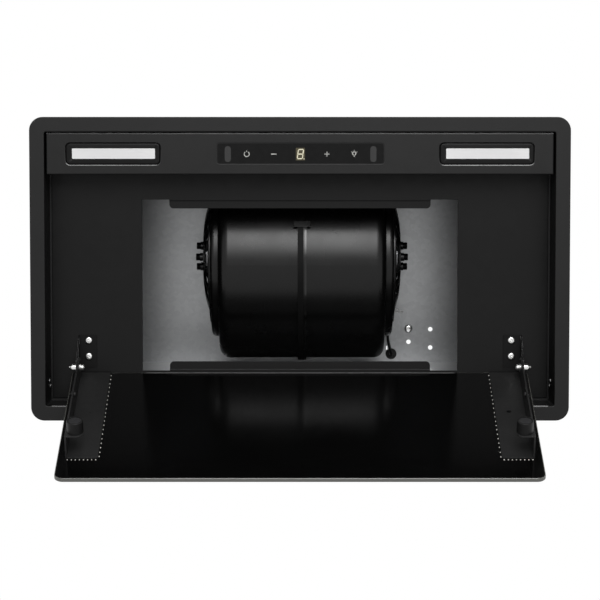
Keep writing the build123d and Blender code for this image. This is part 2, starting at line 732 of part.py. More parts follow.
def casing_screws():
    screws = []
    for foot, way in casing_screw_places():
        base = Vector(*foot) - Vector(*way) * SKIRT_FIT
        screws.append(screw(tuple(base), way))
    return union(screws)


def earth_screw():
    """Earth screw with its head under the top plate, and its nut above."""
    foot = (EARTH_SCREW_X, EARTH_SCREW_Y, CEILING_Z)
    shank = CASE_T + EARTH_NUT_H + EARTH_SCREW_R
    bolt = screw(foot, (0, 0, 1), EARTH_HEAD_R, EARTH_HEAD_H, EARTH_SCREW_R, shank)
    nut_foot = (EARTH_SCREW_X, EARTH_SCREW_Y, CASE_TOP)
    nut_end = (EARTH_SCREW_X, EARTH_SCREW_Y, CASE_TOP + EARTH_NUT_H)
    hexagon = RegularPolygon(EARTH_NUT_FLATS / 2, 6, major_radius=False)
    nut = extrude(Pos(*nut_foot) * hexagon, EARTH_NUT_H)
    return bolt + (nut - rod(EARTH_SCREW_R + RUNNING_FIT, nut_foot, nut_end))


# Blower housing


def volute(inset, top_z):
    """Outline of the blower housing across its axis, drawn in by inset and closed at top_z."""
    step = SCROLL_STEP
    centre_1 = (AXIS_Y + step / 2, AXIS_Z + step / 2)
    centre_2 = (AXIS_Y + step / 2, AXIS_Z - step / 2)
    centre_3 = (AXIS_Y - step / 2, AXIS_Z - step / 2)
    radius_1 = SCROLL_REAR_R - inset
    radius_2 = radius_1 - step
    radius_3 = radius_2 - step
    tongue_y = TONGUE_Y + inset
    rise = math.acos((tongue_y - centre_3[0]) / radius_3)
    tongue = (tongue_y, centre_3[1] + radius_3 * math.sin(rise))
    rear_y = centre_1[0] + radius_1
    lines = [
        Line((rear_y, top_z), (rear_y, centre_1[1])),
        CenterArc(centre_1, radius_1, 0, -90),
        CenterArc(centre_2, radius_2, 270, -90),
        CenterArc(centre_3, radius_3, 180, math.degrees(rise) - 180),
        Line(tongue, (tongue_y, top_z)),
        Line((tongue_y, top_z), (rear_y, top_z)),
    ]
    face = make_face(lines)
    corner = [v for v in face.vertices() if math.dist((v.X, v.Y), tongue) < NEAR]
    return fillet(corner, TONGUE_R + inset)


def volute_solid(inset, half_w, top_z, edge_r):
    """Volute body from the seam plane to -half_w, with its outer side edge rounded."""
    face = Plane.YZ.offset(BLOWER_X) * volute(inset, top_z)
    body = extrude(face, -half_w)
    side = body.faces().sort_by(Axis.X)[0]
    rims = [e for e in side.edges() if e.center().Z < top_z - NEAR]
    return fillet(rims, edge_r)


def scroll():
    """Left half of the blower housing: moulded shell, seam rim, outlet lips and inlet hole."""
    shell = volute_solid(0, SCROLL_HALF_W, CEILING_Z, SCROLL_EDGE_R)
    rim_face = Plane.YZ.offset(BLOWER_X) * volute(-SEAM_H, CEILING_Z)
    shell += extrude(rim_face, -SEAM_W)
    lip_x = (BLOWER_X - OUTLET_LIP_HALF_W, BLOWER_X)
    lip_z = (CEILING_Z - OUTLET_LIP_T, CEILING_Z)
    shell += span(lip_x, (SCROLL_REAR_Y - SCROLL_WALL, SCROLL_REAR_Y + OUTLET_LIP), lip_z)
    shell += span(lip_x, (TONGUE_Y - OUTLET_LIP, TONGUE_Y + SCROLL_WALL), lip_z)
    inner_w = SCROLL_HALF_W - SCROLL_WALL
    shell -= volute_solid(SCROLL_WALL, inner_w, CEILING_Z, SCROLL_EDGE_R - SCROLL_WALL)
    mouth = THROAT_R + RING_WALL + LOOSE_FIT
    start = (BLOWER_X - SCROLL_HALF_W, AXIS_Y, AXIS_Z)
    shell -= rod(mouth, start, (BLOWER_X - inner_w, AXIS_Y, AXIS_Z))
    for x, y in collar_screw_places():
        shell -= rod(SCREW_R, (x, y, CEILING_Z - SCREW_L), (x, y, CEILING_Z))
    return shell


def seam_clip(angle):
    """Clip over the seam rim at an angle about the volute, counted from the rear."""
    turn = math.radians(angle)
    step = SCROLL_STEP / 2
    if angle > 90:
        centre, radius = (AXIS_Y - step, AXIS_Z - step), SCROLL_REAR_R - 2 * SCROLL_STEP
    elif angle < -90:
        centre, radius = (AXIS_Y + step, AXIS_Z - step), SCROLL_REAR_R - SCROLL_STEP
    else:
        centre, radius = (AXIS_Y + step, AXIS_Z + step), SCROLL_REAR_R
    low = radius + LOOSE_FIT
    rim = radius + SEAM_H + LOOSE_FIT
    body = span((-CLIP_W / 2, CLIP_W / 2), (low, rim + CLIP_T), (-CLIP_L / 2, CLIP_L / 2))
    slot = SEAM_W + LOOSE_FIT / 2
    body -= span((-slot, slot), (low, rim), (-CLIP_L / 2, CLIP_L / 2))
    legs = (CLIP_W / 2, slot + CLIP_T)
    for side in (-1, 1):
        waist = sorted((side * legs[0], side * legs[1]))
        body -= span(waist, (low, rim), (-CLIP_L / 2, CLIP_L / 2))
    return Pos(BLOWER_X, *centre) * Rot(math.degrees(turn), 0, 0) * body


def seam_clips():
    return union(seam_clip(angle) for angle in CLIP_ANGLES)


def about_axis(profile):
    """Revolves a profile of distance along the axis (outwards) and radius about the left inlet."""
    ring = revolve(profile, Axis.X)
    return mirrored(Pos(BLOWER_X, AXIS_Y, AXIS_Z) * ring, BLOWER_X)


def inlet_ring():
    """Bell-mouth ring on the housing's side: rounded rim, flat face and throat lip."""
    side = SCROLL_HALF_W
    face = RING_FACE
    wall = RING_WALL
    bell = RING_ROUND
    lip = side - THROAT_IN
    points = [
        (side, RING_R),
        (face, RING_R),
        (face, THROAT_R),
        (lip, THROAT_R),
        (lip, THROAT_R + wall),
        (face - wall, THROAT_R + wall),
        (face - wall, RING_R - wall),
        (side, RING_R - wall),
    ]
    profile = make_face(Polyline(*points, close=True))
    outer = [v for v in profile.vertices() if v.X > face - NEAR]
    profile = fillet(outer, bell)
    inner = [v for v in profile.vertices() if abs(v.X - (face - wall)) < NEAR]
    profile = chamfer(inner, bell - wall)
    return about_axis(profile)


def dome_section():
    """Half section of the inlet grille: foot on the ring's face, dome and flat hub."""
    foot = RING_FACE
    top = HUB_FACE
    hub = GRILLE_HUB_R
    mid_r = (GRILLE_RIM_R + hub) / 2 + GRILLE_MID_OUT
    mid_x = foot + GRILLE_T + (top - foot - GRILLE_T) * GRILLE_FULLNESS
    outer_rim = (foot + GRILLE_T, GRILLE_RIM_R)
    inner_rim = (foot, GRILLE_RIM_R - GRILLE_T)
    lines = [
        Line((foot, GRILLE_FOOT_R), (foot + GRILLE_T, GRILLE_FOOT_R)),
        Line((foot + GRILLE_T, GRILLE_FOOT_R), outer_rim),
        ThreePointArc(outer_rim, (mid_x, mid_r), (top, hub)),
        Line((top, hub), (top, AXLE_R)),
        Line((top, AXLE_R), (top - GRILLE_T, AXLE_R)),
        Line((top - GRILLE_T, AXLE_R), (top - GRILLE_T, hub)),
        ThreePointArc((top - GRILLE_T, hub), (mid_x - GRILLE_T, mid_r - GRILLE_T / 2), inner_rim),
        Line(inner_rim, (foot, GRILLE_FOOT_R)),
    ]
    return make_face(lines)


def grille_window():
    """One gap between two bars, as a prism along the axis."""
    half_turn = math.pi / GRILLE_BARS
    low = GRILLE_HUB_R + GRILLE_T
    high = GRILLE_RIM_R - 2 * GRILLE_T
    half_bar = GRILLE_BAR_W / 2
    inner = math.sqrt(low**2 - half_bar**2)
    outer = math.sqrt(high**2 - half_bar**2)
    near = Vector(inner, half_bar).rotate(Axis.Z, math.degrees(-half_turn))
    far = Vector(outer, half_bar).rotate(Axis.Z, math.degrees(-half_turn))
    lines = [
        Line((near.X, near.Y), (far.X, far.Y)),
        ThreePointArc((far.X, far.Y), (high, 0), (far.X, -far.Y)),
        Line((far.X, -far.Y), (near.X, -near.Y)),
        ThreePointArc((near.X, -near.Y), (low, 0), (near.X, near.Y)),
    ]
    sketch = make_face(lines)
    depth = HUB_FACE - RING_FACE + 2 * GRILLE_T
    plane = Plane(origin=(RING_FACE - GRILLE_T, 0, 0), x_dir=(0, 1, 0), z_dir=(1, 0, 0))
    return extrude(plane * sketch, depth)


def lug_places():
    """Y and Z of each hub lug about the blower's axis."""
    places = []
    for angle in LUG_ANGLES:
        turn = math.radians(angle)
        places.append((LUG_CIRCLE_R * math.cos(turn), LUG_CIRCLE_R * math.sin(turn)))
    return places


def inlet_grille():
    """Domed inlet grille with radial bars; its hub carries the motor's axle through three lugs."""
    dome = revolve(dome_section(), Axis.X)
    window = grille_window()
    for index in range(GRILLE_BARS):
        dome -= Rot(360 / GRILLE_BARS * index, 0, 0) * window
    for y, z in lug_places():
        dome += rod(LUG_R, (HUB_FACE, y, z), (HUB_FACE + LUG_H, y, z))
        back = HUB_FACE - GRILLE_T
        dome -= rod(HUB_SCREW_R + HOLE_CLEARANCE, (back, y, z), (HUB_FACE + LUG_H, y, z))
    return mirrored(Pos(BLOWER_X, AXIS_Y, AXIS_Z) * dome, BLOWER_X)


def both_ends(shape):
    """A piece drawn about the axis at the right end, set on the blower with its twin on the left."""
    right = Pos(BLOWER_X, AXIS_Y, AXIS_Z) * shape
    return right + mirrored(right, BLOWER_X)


def hub_screws():
    shank = LUG_H + GRILLE_T + HUB_RUBBER_T + CLAMP_T / 2
    head = (HUB_SCREW_HEAD_R, HUB_SCREW_HEAD_H, HUB_SCREW_R, shank)
    return both_ends(union(screw((HUB_FACE + LUG_H, y, z), (-1, 0, 0), *head) for y, z in lug_places()))


def hub_disc(radius, bore, low, high, screw_clearance):
    disc = tube(radius, bore, (low, 0, 0), (high, 0, 0))
    for y, z in lug_places():
        disc -= rod(HUB_SCREW_R + screw_clearance, (low, y, z), (high, y, z))
    return both_ends(disc)


def axle_clamps():
    """Metal clamp behind each hub that holds one end of the axle still."""
    high = HUB_FACE - GRILLE_T - HUB_RUBBER_T
    return hub_disc(CLAMP_R, AXLE_R + RUNNING_FIT, high - CLAMP_T, high, RUNNING_FIT)


def hub_rubbers():
    """Rubber washer between each clamp and the grille's hub."""
    high = HUB_FACE - GRILLE_T
    return hub_disc(CLAMP_R, AXLE_R, high - HUB_RUBBER_T, high, HOLE_CLEARANCE)


# Motor and impeller


def on_axis(shape):
    return Pos(BLOWER_X, AXIS_Y, AXIS_Z) * shape


def motor_axle():
    return on_axis(rod(AXLE_R, (-AXLE_HALF_L, 0, 0), (AXLE_HALF_L, 0, 0)))


def motor_stator():
    """Stator core with its winding heads, fixed on the axle."""
    core = rod(STATOR_R, (-STATOR_HALF_L, 0, 0), (STATOR_HALF_L, 0, 0))
    reach = STATOR_HALF_L + WINDING_L
    core += rod(WINDING_R, (-reach, 0, 0), (reach, 0, 0))
    return on_axis(core - rod(AXLE_R + RUNNING_FIT, (-reach, 0, 0), (reach, 0, 0)))


def rotor_can():
    """Outer rotor shell, open on the right for its cap, with a bearing seat on the left."""
    high = ROTOR_HALF_L
    can = rod(ROTOR_R, (-high, 0, 0), (high - ROTOR_WALL, 0, 0))
    can += rod(BEARING_R + ROTOR_WALL, (-high, 0, 0), (-high + BEARING_W, 0, 0))
    can -= rod(ROTOR_R - ROTOR_WALL, (-high + ROTOR_WALL, 0, 0), (high, 0, 0))
    can += tube(BEARING_R + ROTOR_WALL, BEARING_R, (-high, 0, 0), (-high + BEARING_W, 0, 0))
    return on_axis(can - rod(BEARING_R + RUNNING_FIT, (-high, 0, 0), (-high + BEARING_W, 0, 0)))


def rotor_cap():
    """Cap that closes the rotor shell, with the right bearing's seat."""
    high = ROTOR_HALF_L
    cap = rod(ROTOR_R, (high - ROTOR_WALL, 0, 0), (high, 0, 0))
    cap += rod(BEARING_R + ROTOR_WALL, (high - BEARING_W, 0, 0), (high, 0, 0))
    return on_axis(cap - rod(BEARING_R + RUNNING_FIT, (high - BEARING_W, 0, 0), (high, 0, 0)))


def bearings():
    high = ROTOR_HALF_L
    bore = AXLE_R + RUNNING_FIT
    left = tube(BEARING_R, bore, (-high, 0, 0), (-high + BEARING_W, 0, 0))
    right = tube(BEARING_R, bore, (high - BEARING_W, 0, 0), (high, 0, 0))
    return on_axis(left + right)


def impeller():
    """Double-inlet wheel: forward-curved blades through a centre disc, held by an end ring each side."""
    inner_r = IMPELLER_R - BLADE_DEPTH
    entry = math.radians(BLADE_ENTRY_DEG)
    bend_x = inner_r + BLADE_T - BLADE_BEND_R * math.sin(entry)
    bend = (bend_x, BLADE_BEND_R * math.cos(entry))
    hollow = CenterArc(bend, BLADE_BEND_R - BLADE_T / 2, BLADE_ENTRY_DEG - 90, BLADE_TURN_DEG)
    back = CenterArc(bend, BLADE_BEND_R + BLADE_T / 2, BLADE_ENTRY_DEG - 90, BLADE_TURN_DEG)
    blade = make_face([hollow, Line(hollow @ 1, back @ 1), back, Line(back @ 0, hollow @ 0)])
    plane = Plane(origin=(-IMPELLER_HALF_W, 0, 0), x_dir=(0, 1, 0), z_dir=(1, 0, 0))
    bar = extrude(plane * blade, 2 * IMPELLER_HALF_W)
    disc = tube(IMPELLER_R, ROTOR_R + RUNNING_FIT, (-DISC_T / 2, 0, 0), (DISC_T / 2, 0, 0))
    rings = []
    for side in (-1, 1):
        end = side * IMPELLER_HALF_W
        rings.append(tube(IMPELLER_R, inner_r, (end, 0, 0), (end - side * END_RING_T, 0, 0)))
    blades = [Rot(360 / BLADE_COUNT * index, 0, 0) * bar for index in range(BLADE_COUNT)]
    return on_axis(disc.fuse(*rings, *blades))


# Hinged panel


def along_panel(start, end):
    """Y range of a stretch of the closed panel, measured from its rear edge."""
    return (PANEL_REAR_Y - end, PANEL_REAR_Y - start)


def glass_panel():
    half_w = PANEL_W / 2
    plate = span((-half_w, half_w), along_panel(0, PANEL_L), (PANEL_Z - PANEL_T, PANEL_Z))
    corners = plate.edges().filter_by(Axis.Z)
    plate = fillet([e for e in corners if e.center().Y < 0], PANEL_R)
    corners = plate.edges().filter_by(Axis.Z)
    rear = [e for e in corners if e.center().Y > PANEL_REAR_Y - NEAR]
    plate = fillet(rear, PANEL_REAR_R)
    faces = plate.faces().sort_by(Axis.Z)
    plate = chamfer(faces[0].edges() + faces[-1].edges(), PANEL_CHAMFER)
    return opened(plate)


def panel_bracket(side):
    """Bracket glued to the glass: plate, hinge ear and the shelf for the magnet catch, drawn on the left."""
    outer = -EAR_X
    inner = outer + PLATE_W
    top = PANEL_Z + EAR_H
    plate = span((outer, inner), along_panel(PLATE_START, PLATE_END), (PANEL_Z, PANEL_Z + BRACKET_T))
    tips = [e for e in plate.edges().filter_by(Axis.Z) if e.center().X > inner - NEAR]
    plate = fillet(tips, PLATE_R)
    pivot = (PIVOT_Y, PIVOT_Z)
    front = PANEL_REAR_Y - PLATE_END
    foot_y = PANEL_REAR_Y - PLATE_START
    lines = [
        Line((front, PANEL_Z), (foot_y, PANEL_Z)),
        Line((foot_y, PANEL_Z), (foot_y, PANEL_Z + BRACKET_T)),
        Line((foot_y, PANEL_Z + BRACKET_T), (PIVOT_Y + EAR_END_R, PIVOT_Z)),
        CenterArc(pivot, EAR_END_R, 0, 90),
        Line((PIVOT_Y, top), (front, top)),
        Line((front, top), (front, PANEL_Z)),
    ]
    ear = extrude(Plane.YZ.offset(outer) * make_face(lines), BRACKET_T)
    shelf_y = (front, front + SHELF_L)
    shelf = span((outer, outer + SHELF_W), shelf_y, (top - BRACKET_T, top))
    round_edges = [e for e in shelf.edges().filter_by(Axis.Z) if e.center().X > outer + NEAR]
    shelf = fillet(round_edges, SHELF_R)
    dimple_y = PANEL_REAR_Y - DIMPLE_S
    dimple_z = PANEL_Z + DIMPLE_N
    face = outer + BRACKET_T
    dimple = rod(DIMPLE_R, (face, dimple_y, dimple_z), (face + DIMPLE_H, dimple_y, dimple_z))
    bracket = plate + ear + shelf + dimple
    hole = BOLT_R + RUNNING_FIT
    bracket -= rod(hole, (outer, *pivot), (face, *pivot))
    mark = (outer + PLATE_MARK_IN, PANEL_REAR_Y - PLATE_MARK_S)
    plate_top = PANEL_Z + BRACKET_T
    if side > 0:
        bracket -= rod(PLATE_HOLE_R, (*mark, PANEL_Z), (*mark, plate_top))
        return mirrored(opened(bracket))
    bracket += rod(PLATE_BOSS_R, (*mark, plate_top), (*mark, plate_top + PLATE_BOSS_H))
    return opened(bracket)


def magnet_foot():
    return (-MAGNET_X, PANEL_REAR_Y - MAGNET_S, PANEL_Z + EAR_H)


def magnet_cup():
    x, y, z = magnet_foot()
    top = z + CUP_H
    cup = rod(MAGNET_CUP_R, (x, y, z), (x, y, top))
    rim = cup.faces().sort_by(Axis.Z)[-1].edges()
    cup = chamfer(rim, MAGNET_SINK)
    pocket = MAGNET_R + LOOSE_FIT / 2
    return opened(cup - rod(pocket, (x, y, top - MAGNET_SINK - MAGNET_T), (x, y, top)))


def magnet_discs():
    x, y, z = magnet_foot()
    top = z + CUP_H - MAGNET_SINK
    left = opened(rod(MAGNET_R, (x, y, top - MAGNET_T), (x, y, top)))
    return left + mirrored(left)


# Fixed side of the hinges


def hinge_bracket():
    """Left fixed bracket: base under the floor plate and a tapering ear outside the panel's ear."""
    inner_face = -FIXED_EAR_X
    outer_face = inner_face - BRACKET_T
    base_z = FLOOR_Z - BRACKET_T
    base_y = (BASE_FRONT_Y, BASE_REAR_Y)
    base = span((outer_face, -BASE_INNER_X), base_y, (base_z, FLOOR_Z))
    pivot = (PIVOT_Y, PIVOT_Z)
    front = (BASE_FRONT_Y, base_z)
    run = Vector(pivot[0] - front[0], pivot[1] - front[1])
    swing = math.asin(FIXED_EAR_R / run.length)
    tangent_turn = math.atan2(run.Y, run.X) - swing
    reach = math.sqrt(run.length**2 - FIXED_EAR_R**2)
    touch = (front[0] + reach * math.cos(tangent_turn), front[1] + reach * math.sin(tangent_turn))
    low = (pivot[0], pivot[1] - FIXED_EAR_R)
    rear_x = pivot[0] + FIXED_EAR_REAR
    rear_turn = math.acos(FIXED_EAR_REAR / FIXED_EAR_R)
    rear = (rear_x, pivot[1] - FIXED_EAR_R * math.sin(rear_turn))
    lines = [
        Line(front, touch),
        ThreePointArc(touch, low, rear),
        Line(rear, (rear_x, FLOOR_Z)),
        Line((rear_x, FLOOR_Z), (BASE_FRONT_Y, FLOOR_Z)),
        Line((BASE_FRONT_Y, FLOOR_Z), front),
    ]
    ear = extrude(Plane.YZ.offset(outer_face) * make_face(lines), BRACKET_T)
    bracket = base + ear
    bracket -= rod(BOLT_R + RUNNING_FIT, (outer_face, *pivot), (inner_face, *pivot))
    for step in BASE_SCREW_STEPS:
        foot = (-BASE_SCREW_X, PIVOT_Y - step)
        bracket -= rod(SCREW_R + HOLE_CLEARANCE, (*foot, base_z), (*foot, FLOOR_Z))
    return bracket


def hinge_bracket_screws():
    base_z = FLOOR_Z - BRACKET_T
    return union(screw((x, y, base_z), (0, 0, 1)) for x, y in base_screw_places())


def hinge_bolts():
    """The two pivot bolts: head inside the panel's ear, thread end outside the nut."""
    ear_face = -EAR_X + BRACKET_T
    head_foot = ear_face + EAR_GAP / 2 + WASHER_T
    tip = -(FIXED_EAR_X + BRACKET_T + WASHER_T + NUT_H + BOLT_TIP)
    shank = rod(BOLT_R, (tip, PIVOT_Y, PIVOT_Z), (head_foot, PIVOT_Y, PIVOT_Z))
    head_end = (head_foot + BOLT_HEAD_H, PIVOT_Y, PIVOT_Z)
    left = shank + rod(BOLT_HEAD_R, (head_foot, PIVOT_Y, PIVOT_Z), head_end)
    return left + mirrored(left)


def hinge_washers():
    """A washer under each bolt head and under each nut."""
    bore = BOLT_R + RUNNING_FIT
    ear_face = -EAR_X + BRACKET_T + EAR_GAP / 2
    nut_face = -(FIXED_EAR_X + BRACKET_T)
    pair = []
    for start, way in ((ear_face, 1), (nut_face, -1)):
        end = start + way * WASHER_T
        pair.append(tube(WASHER_R, bore, (start, PIVOT_Y, PIVOT_Z), (end, PIVOT_Y, PIVOT_Z)))
    left = union(pair)
    return left + mirrored(left)


def hinge_nuts():
    start = -(FIXED_EAR_X + BRACKET_T + WASHER_T)
    plane = Plane(origin=(start, PIVOT_Y, PIVOT_Z), x_dir=(0, 1, 0), z_dir=(-1, 0, 0))
    hexagon = RegularPolygon(NUT_FLATS / 2, 6, major_radius=False)
    nut = extrude(plane * hexagon, NUT_H)
    end = (start - NUT_H, PIVOT_Y, PIVOT_Z)
    left = nut - rod(BOLT_R + RUNNING_FIT, (start, PIVOT_Y, PIVOT_Z), end)
    return left + mirrored(left)


# Duct collar and flaps


def rounded_outline(half_x, half_y, corner, height):
    """Outline with eight stretches: four sides and four quarter rounds."""
    lines = []
    for turn in (0, 90, 180, 270):
        long, short = (half_x, half_y) if turn in (0, 180) else (half_y, half_x)
        side = Line((long, corner - short), (long, short - corner))
        bend = CenterArc((long - corner, short - corner), corner, 0, 90)
        lines += [Rot(0, 0, turn) * side, Rot(0, 0, turn) * bend]
    return Pos(BLOWER_X, COLLAR_Y, height) * make_face(lines)


def round_outline(radius, height):
    """Circle in the same eight stretches, each bend taking a share of the round."""
    half = COLLAR_BEND_DEG / 2
    lines = []
    for turn in (0, 90, 180, 270):
        lines.append(CenterArc((0, 0), radius, turn - 45 + half, 90 - COLLAR_BEND_DEG))
        lines.append(CenterArc((0, 0), radius, turn + 45 - half, COLLAR_BEND_DEG))
    return Pos(BLOWER_X, COLLAR_Y, height) * make_face(lines)


def collar_loft(inset):
    """Transition from the blower's outlet to the round spigot, drawn in by inset."""
    half_x = SCROLL_HALF_W - SCROLL_WALL - inset
    half_y = (SCROLL_REAR_Y - TONGUE_Y) / 2 - SCROLL_WALL - inset
    mouth = rounded_outline(half_x, half_y, SCROLL_EDGE_R, CASE_TOP + COLLAR_BASE_T)
    return loft([mouth, round_outline(SPIGOT_R - inset, SPIGOT_Z)], ruled=True)


def outlet_collar():
    low = CASE_TOP + COLLAR_BASE_T
    base = (2 * COLLAR_HALF_W, 2 * COLLAR_HALF_D, SCROLL_EDGE_R)
    collar = slab(*base, CASE_TOP, low, BLOWER_X, COLLAR_Y)
    collar += collar_loft(0)
    centre = (BLOWER_X, COLLAR_Y)
    top = SPIGOT_Z + SPIGOT_L
    collar += rod(SPIGOT_R, (*centre, SPIGOT_Z), (*centre, top))
    bore_w = 2 * (SCROLL_HALF_W - 2 * SCROLL_WALL)
    bore_d = SCROLL_REAR_Y - TONGUE_Y - 4 * SCROLL_WALL
    collar -= slab(bore_w, bore_d, SCROLL_EDGE_R, CASE_TOP, low, *centre)
    collar -= collar_loft(SPIGOT_WALL)
    bore = SPIGOT_R - SPIGOT_WALL
    collar -= rod(bore, (*centre, SPIGOT_Z), (*centre, top))
    ledge_top = SPIGOT_Z + FLAP_LEDGE_H
    collar += tube(bore + SPIGOT_WALL / 2, bore - FLAP_LEDGE_W, (*centre, SPIGOT_Z), (*centre, ledge_top))
    pin_hole = FLAP_PIN_R + RUNNING_FIT
    start = (BLOWER_X - SPIGOT_R, COLLAR_Y, FLAP_PIN_Z)
    collar -= rod(pin_hole, start, (BLOWER_X + SPIGOT_R, COLLAR_Y, FLAP_PIN_Z))
    for x, y in collar_screw_places():
        collar -= rod(SCREW_R + HOLE_CLEARANCE, (x, y, CASE_TOP), (x, y, low))
    return collar


def collar_screws():
    top = CASE_TOP + COLLAR_BASE_T
    shank = SCREW_R - RUNNING_FIT
    return union(screw((x, y, top), (0, 0, -1), shank_r=shank) for x, y in collar_screw_places())


def flap_pin():
    reach = SPIGOT_R - FLAP_PIN_INSET
    start = (BLOWER_X - reach, COLLAR_Y, FLAP_PIN_Z)
    return rod(FLAP_PIN_R, start, (BLOWER_X + reach, COLLAR_Y, FLAP_PIN_Z))


def flap(way, knuckles):
    """Half-round flap on one side of the pin (way -1 front, 1 rear) with its hinge barrels."""
    disc = rod(FLAP_R, (0, 0, FLAP_Z), (0, 0, FLAP_Z + FLAP_T))
    keep = sorted((way * FLAP_SPLIT, way * SPIGOT_R))
    leaf = disc & span((-FLAP_R, FLAP_R), keep, (FLAP_Z, FLAP_Z + FLAP_T))
    barrel_z = FLAP_PIN_Z
    for low, high in knuckles:
        leaf += rod(FLAP_BARREL_R, (low, 0, barrel_z), (high, 0, barrel_z))
        bridge = sorted((0, way * (FLAP_SPLIT + FLAP_T)))
        leaf += span((low, high), bridge, (FLAP_Z, FLAP_Z + FLAP_T))
    start = (-FLAP_R, 0, barrel_z)
    leaf -= rod(FLAP_PIN_R + RUNNING_FIT, start, (FLAP_R, 0, barrel_z))
    return Pos(BLOWER_X, COLLAR_Y, 0) * leaf


def flap_front():
    reach = (KNUCKLE_SPLIT + RUNNING_FIT, KNUCKLE_END)
    return flap(-1, (reach, (-reach[1], -reach[0])))


def flap_rear():
    return flap(1, ((-KNUCKLE_SPLIT + LOOSE_FIT, KNUCKLE_SPLIT - LOOSE_FIT),))


# Terminal box


def box_post_places():
    xs = (BOX_X[0] + LID_SCREW_INSET, BOX_X[1] - LID_SCREW_INSET)
    ys = (BOX_Y[0] + LID_SCREW_INSET, BOX_Y[1] - LID_SCREW_INSET)
    return [(x, y) for x in xs for y in ys]


def driver_corner():
    return (BOX_X[0] + BOX_WALL + 2 * LID_SCREW_INSET, BOX_Y[0] + BOX_WALL + 2 * LID_SCREW_INSET)


def gland_place():
    return (BOX_X[1], (BOX_Y[0] + BOX_Y[1]) / 2, CASE_TOP + GLAND_Z)


def terminal_box():
    box = span(BOX_X, BOX_Y, (CASE_TOP, BOX_TOP))
    inner_x = (BOX_X[0] + BOX_WALL, BOX_X[1] - BOX_WALL)
    inner_y = (BOX_Y[0] + BOX_WALL, BOX_Y[1] - BOX_WALL)
    floor_z = CASE_TOP + BOX_WALL
    box -= span(inner_x, inner_y, (floor_z, BOX_TOP))
    for x, y in box_post_places():
        box += rod(POST_R, (x, y, floor_z), (x, y, BOX_TOP))
        box -= rod(SCREW_R, (x, y, BOX_TOP - SCREW_L), (x, y, BOX_TOP))
    left, front = driver_corner()
    for x in (left + POST_R, left + DRIVER_W - POST_R):
        for y in (front + POST_R, front + DRIVER_D - POST_R):
            box += rod(POST_R, (x, y, floor_z), (x, y, floor_z + STANDOFF_H))
    x, y, z = gland_place()
    box -= rod(GLAND_R + RUNNING_FIT, (x - BOX_WALL, y, z), (x, y, z))
    lead = LEAD_R + HOLE_CLEARANCE
    box -= rod(lead, (LEAD_BOX_X, BOX_Y[1] - BOX_WALL, LEAD_TOP_Z), (LEAD_BOX_X, BOX_Y[1], LEAD_TOP_Z))
    return box


def terminal_lid():
    lid = span(BOX_X, BOX_Y, (BOX_TOP, BOX_TOP + LID_T))
    for x, y in box_post_places():
        lid -= rod(SCREW_R + HOLE_CLEARANCE, (x, y, BOX_TOP), (x, y, BOX_TOP + LID_T))
    return lid


def lid_screws():
    top = BOX_TOP + LID_T
    shank = SCREW_R - RUNNING_FIT
    return union(screw((x, y, top), (0, 0, -1), shank_r=shank) for x, y in box_post_places())


def capacitor():
    """Motor run capacitor lying on the floor of the box."""
    x = (BOX_X[0] + BOX_X[1] - CAPACITOR_L) / 2
    y = BOX_Y[1] - BOX_WALL - 2 * LID_SCREW_INSET - CAPACITOR_R
    z = CASE_TOP + BOX_WALL + CAPACITOR_R
    return rod(CAPACITOR_R, (x, y, z), (x + CAPACITOR_L, y, z))


def driver_board():
    left, front = driver_corner()
    low = CASE_TOP + BOX_WALL + STANDOFF_H
    board = span((left, left + DRIVER_W), (front, front + DRIVER_D), (low, low + BOARD_T))
    block_x = (left + 3 * POST_R, left + DRIVER_W / 2)
    block_y = (front + POST_R, front + DRIVER_D - POST_R)
    return board + span(block_x, block_y, (low + BOARD_T, low + BOARD_T + 2 * STANDOFF_H))


def cable_gland():
    """Gland for the supply cable in the box's right wall."""
    x, y, z = gland_place()
    gland = rod(GLAND_R, (x - BOX_WALL, y, z), (x, y, z))
    gland += rod(GLAND_R + GLAND_FLANGE, (x, y, z), (x + GLAND_FLANGE, y, z))
    gland += rod(GLAND_R - GLAND_FLANGE / 2, (x + GLAND_FLANGE, y, z), (x + GLAND_L, y, z))
    return gland - rod(GLAND_BORE_R, (x - BOX_WALL, y, z), (x + GLAND_L, y, z))


# Motor lead


def lead_route():
    """Points of the lead from the right clamp, out through the grille and up through the top plate."""
    foot = (CLAMP_R + 2 * LOOSE_FIT) * math.sqrt(0.5)
    return [
        (96.0, AXIS_Y + foot, AXIS_Z + foot),
        (97.0, 15.5, 180.0),
        (101.3, 24.6, 190.4),
        (102.8, 36.5, 201.5),
        (100.3, 47.0, 211.0),
        (96.2, 63.5, 222.5),
        (92.4, 84.0, 233.5),
        (GROMMET_X, GROMMET_Y, 237.0),
        (GROMMET_X, GROMMET_Y, LEAD_TOP_Z + 1.0),
        (GROMMET_X + 5.0, GROMMET_Y - 16.0, LEAD_TOP_Z + 5.0),
        (GROMMET_X + 11.0, BOX_Y[1] + 24.0, LEAD_TOP_Z + 2.5),
        (LEAD_BOX_X, BOX_Y[1] + 10.0, LEAD_TOP_Z),
        (LEAD_BOX_X, BOX_Y[1] - 6.0, LEAD_TOP_Z),
    ]


def bend_radii(points):
    """Largest arc at each corner that its two runs allow, a share of the shorter run."""
    radii = []
    for before, corner, after in zip(points, points[1:], points[2:]):
        run_in = Vector(*corner) - Vector(*before)
        run_out = Vector(*after) - Vector(*corner)
        turn = math.radians(run_in.get_angle(run_out))
        radii.append(BEND_SHARE * min(run_in.length, run_out.length) / math.tan(turn / 2))
    return radii


